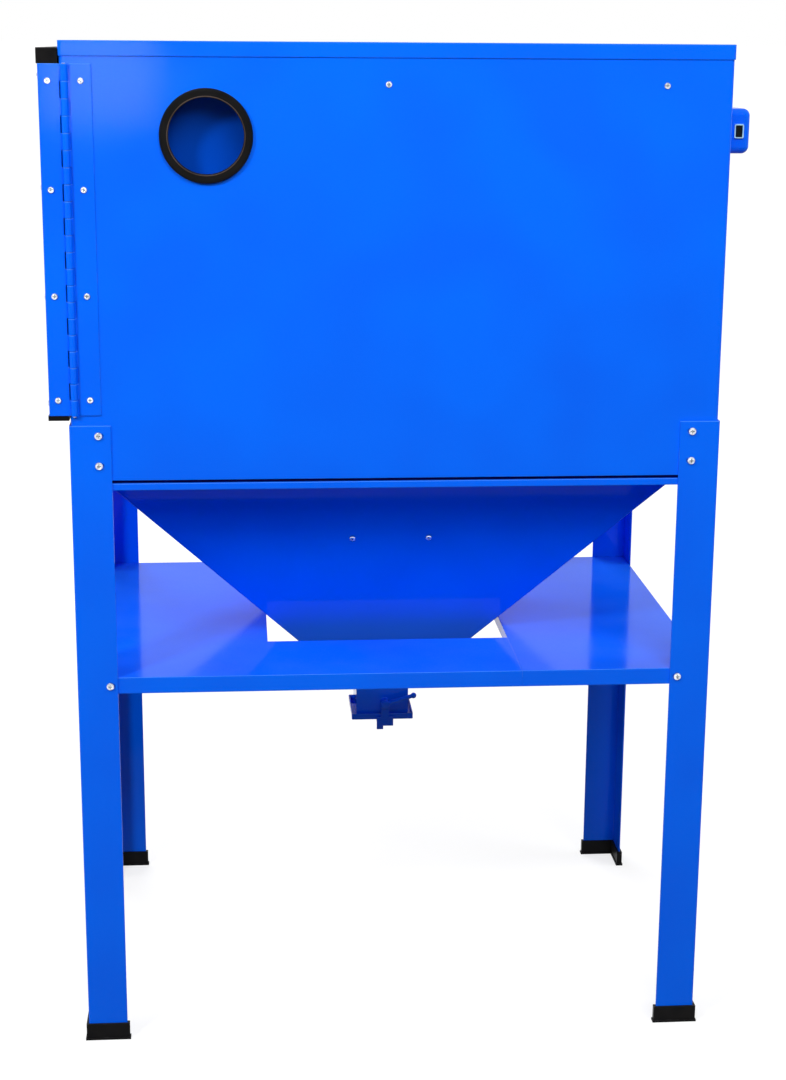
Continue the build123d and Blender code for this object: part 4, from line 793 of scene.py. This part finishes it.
def shade_smooth(data):
    """Shade every face of a mesh smoothly."""
    data.polygons.foreach_set("use_smooth", [True] * len(data.polygons))


def join_tubes(piece):
    """Turn overlapping tubes into one soft skin."""
    remesh = piece.modifiers.new("skin", "REMESH")
    remesh.mode = "VOXEL"
    remesh.voxel_size = GLOVE_VOXEL
    smooth = piece.modifiers.new("soften", "SMOOTH")
    smooth.iterations = 5
    bake(piece)


def open_cuff(piece, front):
    """Cut the round end off the sleeve and straighten the rim that is left."""
    mesh = bmesh.new()
    mesh.from_mesh(piece.data)
    outside = [f for f in mesh.faces if f.calc_center_median().y < front + PORT_SLICE]
    bmesh.ops.delete(mesh, geom=outside, context="FACES")
    rim = {v for e in mesh.edges if e.is_boundary for v in e.verts}
    for vertex in rim:
        vertex.co.y = front + RIM_DEPTH
    mesh.to_mesh(piece.data)
    mesh.free()


def thicken(piece):
    """Give the skin its thickness, inwards, and relax the result."""
    thickness = piece.modifiers.new("thickness", "SOLIDIFY")
    thickness.thickness = GLOVE_SKIN
    thickness.offset = -1.0
    relax = piece.modifiers.new("relax", "SMOOTH")
    relax.iterations = 2
    relax.factor = 0.4
    bake(piece)


def make_glove(name, thumb_side, seed):
    """One glove in its port, in place of its CAD solid."""
    low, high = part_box(name)
    port = Vector(((low.x + high.x) / 2, low.y, high.z - CUFF_RADIUS))
    piece = bpy.data.objects.new(name + "_skin", glove_tubes(port, thumb_side))
    scene.collection.objects.link(piece)
    join_tubes(piece)
    fold_glove(piece, port, seed)
    open_cuff(piece, low.y)
    thicken(piece)
    shade_smooth(piece.data)
    give_finish(piece, glove_rubber)
    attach(piece, "cabinet")
    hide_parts(name)
    print(piece.name, "faces:", len(piece.data.polygons))
    return piece


make_glove("glove_left", thumb_side=1, seed=0.0)
make_glove("glove_right", thumb_side=-1, seed=5.3)

# %% [markdown]
# ## Two small trims
#
# A pale moulded frame is clipped round the switch, and a thin bead runs round the inner lip of the dust
# port. Both are only a millimetre or two thick, so they add nothing to how the cabinet works, and they are
# modelled here and not in CAD. Each is a small oval section swept along a closed line. The line is a
# rectangle with round corners for the switch, and a circle for the port.

# %% A closed sweep


def sweep_loop(name, line, outward, section, body, material):
    """A ring swept along a closed line. The section's points go outward and along the rear axis."""
    mesh = bmesh.new()
    rings = []
    for place, out in zip(line, outward):
        rings.append([mesh.verts.new(place + out * a + Vector((0, b, 0))) for a, b in section])
    for i, ring in enumerate(rings):
        before = rings[i - 1]
        for k in range(len(section)):
            mesh.faces.new((before[k], before[k - 1], ring[k - 1], ring[k]))
    bmesh.ops.recalc_face_normals(mesh, faces=mesh.faces)
    data = bpy.data.meshes.new(name)
    mesh.to_mesh(data)
    mesh.free()
    shade_smooth(data)
    piece = bpy.data.objects.new(name, data)
    scene.collection.objects.link(piece)
    data.materials.append(material)
    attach(piece, body)
    print(piece.name, "faces:", len(data.polygons))
    return piece


def oval_section(radius_out, radius_along, sides=12):
    """An oval section, its points in order round it."""
    angles = [2 * math.pi * k / sides for k in range(sides)]
    return [(radius_out * math.cos(a), radius_along * math.sin(a)) for a in angles]


# %% The switch's pale frame
TRIM_MARGIN = 1.6 * MM         # rocker's edge to the middle of the frame
TRIM_CORNER = 1.8 * MM
TRIM_STEPS = 6                 # steps round each corner
TRIM_SECTION = (0.95 * MM, 0.7 * MM)
CORNERS = ((1, 1), (-1, 1), (-1, -1), (1, -1))


def switch_trim():
    """The frame round the rocker, half sunk in the face of the switch box."""
    low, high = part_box("switch_rocker")
    centre = (low + high) / 2
    half_x = (high.x - low.x) / 2 + TRIM_MARGIN - TRIM_CORNER
    half_z = (high.z - low.z) / 2 + TRIM_MARGIN - TRIM_CORNER
    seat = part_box("switch_box")[1].y
    line, outward = [], []
    for quarter, (side_x, side_z) in enumerate(CORNERS):
        corner = Vector((centre.x + side_x * half_x, seat, centre.z + side_z * half_z))
        for step in range(TRIM_STEPS + 1):
            angle = math.pi / 2 * (quarter + step / TRIM_STEPS)
            out = Vector((math.cos(angle), 0, math.sin(angle)))
            line.append(corner + out * TRIM_CORNER)
            outward.append(out)
    section = oval_section(*TRIM_SECTION)
    return sweep_loop("switch_trim", line, outward, section, "cabinet", pale_trim)


switch_trim()

# %% The dust port's bead
DUCT_LIP_RADIUS = 55.5 * MM
BEAD_STEPS = 96
BEAD_SINK = 0.4 * MM           # ring's outer face to the middle of the bead
BEAD_SECTION = (0.9 * MM, 0.7 * MM)


def port_bead():
    """The bead round the inner lip of the dust port's ring."""
    low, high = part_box("dust_port_ring")
    centre = (low + high) / 2
    angles = [2 * math.pi * k / BEAD_STEPS for k in range(BEAD_STEPS)]
    outward = [Vector((math.cos(a), 0, math.sin(a))) for a in angles]
    middle = Vector((centre.x, high.y - BEAD_SINK, centre.z))
    line = [middle + out * DUCT_LIP_RADIUS for out in outward]
    section = oval_section(*BEAD_SECTION)
    return sweep_loop("dust_port_bead", line, outward, section, "cabinet", lip_rubber_painted_highlight)


port_bead()

# %% [markdown]
# ## The stage
#
# The cabinet stands on a plain pale floor that runs out of sight. To a camera, a mirror or a pane of glass,
# the floor and the sky are white. The light that they throw back on the cabinet is much weaker, as in a
# large dark studio, so that its lower faces stay dark. A share of the floor is a real matt surface, so that
# it still takes a soft shadow under the feet.

# %% Floor
FLOOR_REACH = 2000.0
FLOOR_GLOW = 0.74             # how much of the floor near the cabinet shows as plain white
FLOOR_NEAR = 1.5              # the share of plain white grows from the first distance on
FLOOR_FAR = 5.0               # the floor is all plain white from the second distance on
FLOOR_SEEN = 0.30             # its matt share, as the camera sees it
FLOOR_BOUNCE = 0.08           # its matt share, as light on the cabinet


def sees_background(tree):
    """1 for a ray from the camera, from gloss or through glass, and 0 for light on the object."""
    path = add_node(tree, "ShaderNodeLightPath").outputs
    mirrored = maths(tree, "ADD", path["Is Glossy Ray"], path["Is Transmission Ray"])
    return maths(tree, "ADD", path["Is Camera Ray"], mirrored, clamp=True)


def make_floor():
    """A wide floor: a matt share that takes shadows, and a glow that shows as white."""
    bpy.ops.mesh.primitive_plane_add(size=FLOOR_REACH, location=(0, 0, 0))
    floor = bpy.context.object
    floor.name = "floor"
    material = bpy.data.materials.new("pale_floor")
    material.use_nodes = True
    tree = material.node_tree
    tree.nodes.remove(tree.nodes["Principled BSDF"])
    seen = sees_background(tree)
    tone = spread(tree, seen, 0.0, 1.0, FLOOR_BOUNCE, FLOOR_SEEN)
    shade = add_node(tree, "ShaderNodeCombineColor", {0: tone, 1: tone, 2: tone}).outputs[0]
    matt = add_node(tree, "ShaderNodeBsdfDiffuse", {"Color": shade}).outputs[0]
    away = add_node(tree, "ShaderNodeVectorMath", {0: place_of(tree)}, operation="LENGTH").outputs["Value"]
    white = spread(tree, away, FLOOR_NEAR, FLOOR_FAR, FLOOR_GLOW, 1.0)
    glow = add_node(tree, "ShaderNodeEmission", {"Strength": maths(tree, "MULTIPLY", seen, white)}).outputs[0]
    both = add_node(tree, "ShaderNodeAddShader", {0: matt, 1: glow}).outputs[0]
    tree.links.new(both, tree.nodes["Material Output"].inputs["Surface"])
    floor.data.materials.append(material)
    return floor


floor = make_floor()
print("floor at Z", floor.location.z)

# %% World and lamps
SKY_LIGHT = 0.24
WHITE = (1.0, 1.0, 1.0, 1.0)


def make_world():
    """A white sky to look at, which lights the cabinet only a little."""
    world = bpy.data.worlds.new("studio")
    scene.world = world
    world.use_nodes = True
    tree = world.node_tree
    sky = tree.nodes["Background"].inputs
    feed(tree, sky["Strength"], spread(tree, sees_background(tree), 0.0, 1.0, SKY_LIGHT, 1.0))
    sky["Color"].default_value = WHITE


def soft_lamp(name, spot, size, power, mirrored=False):
    """A square area lamp that looks at the middle of the cabinet. Glossy paint may mirror it."""
    lamp = bpy.data.objects.new(name, bpy.data.lights.new(name, "AREA"))
    lamp.data.size = size
    lamp.data.energy = power
    lamp.visible_glossy = mirrored
    lamp.location = spot
    lamp.rotation_mode = "QUATERNION"
    lamp.rotation_quaternion = ((cad_low + cad_high) / 2 - Vector(spot)).to_track_quat("-Z", "Y")
    scene.collection.objects.link(lamp)


make_world()
soft_lamp("rear_soft_lamp", (-0.5, 2.7, 3.15), size=2.0, power=79.0)
soft_lamp("rear_key_lamp", (2.3, 2.7, 2.9), size=0.6, power=70.0)
soft_lamp("corner_glint_lamp", (0.75, 5.2, 1.45), size=0.42, power=7.0, mirrored=True)
soft_lamp("front_soft_lamp", (0.8, -2.8, 2.9), size=2.0, power=88.0)
soft_lamp("left_soft_lamp", (-3.2, 0.2, 2.6), size=1.6, power=40.0)
soft_lamp("right_soft_lamp", (3.2, 0.2, 2.6), size=1.6, power=40.0)
scene.view_settings.view_transform = "Standard"
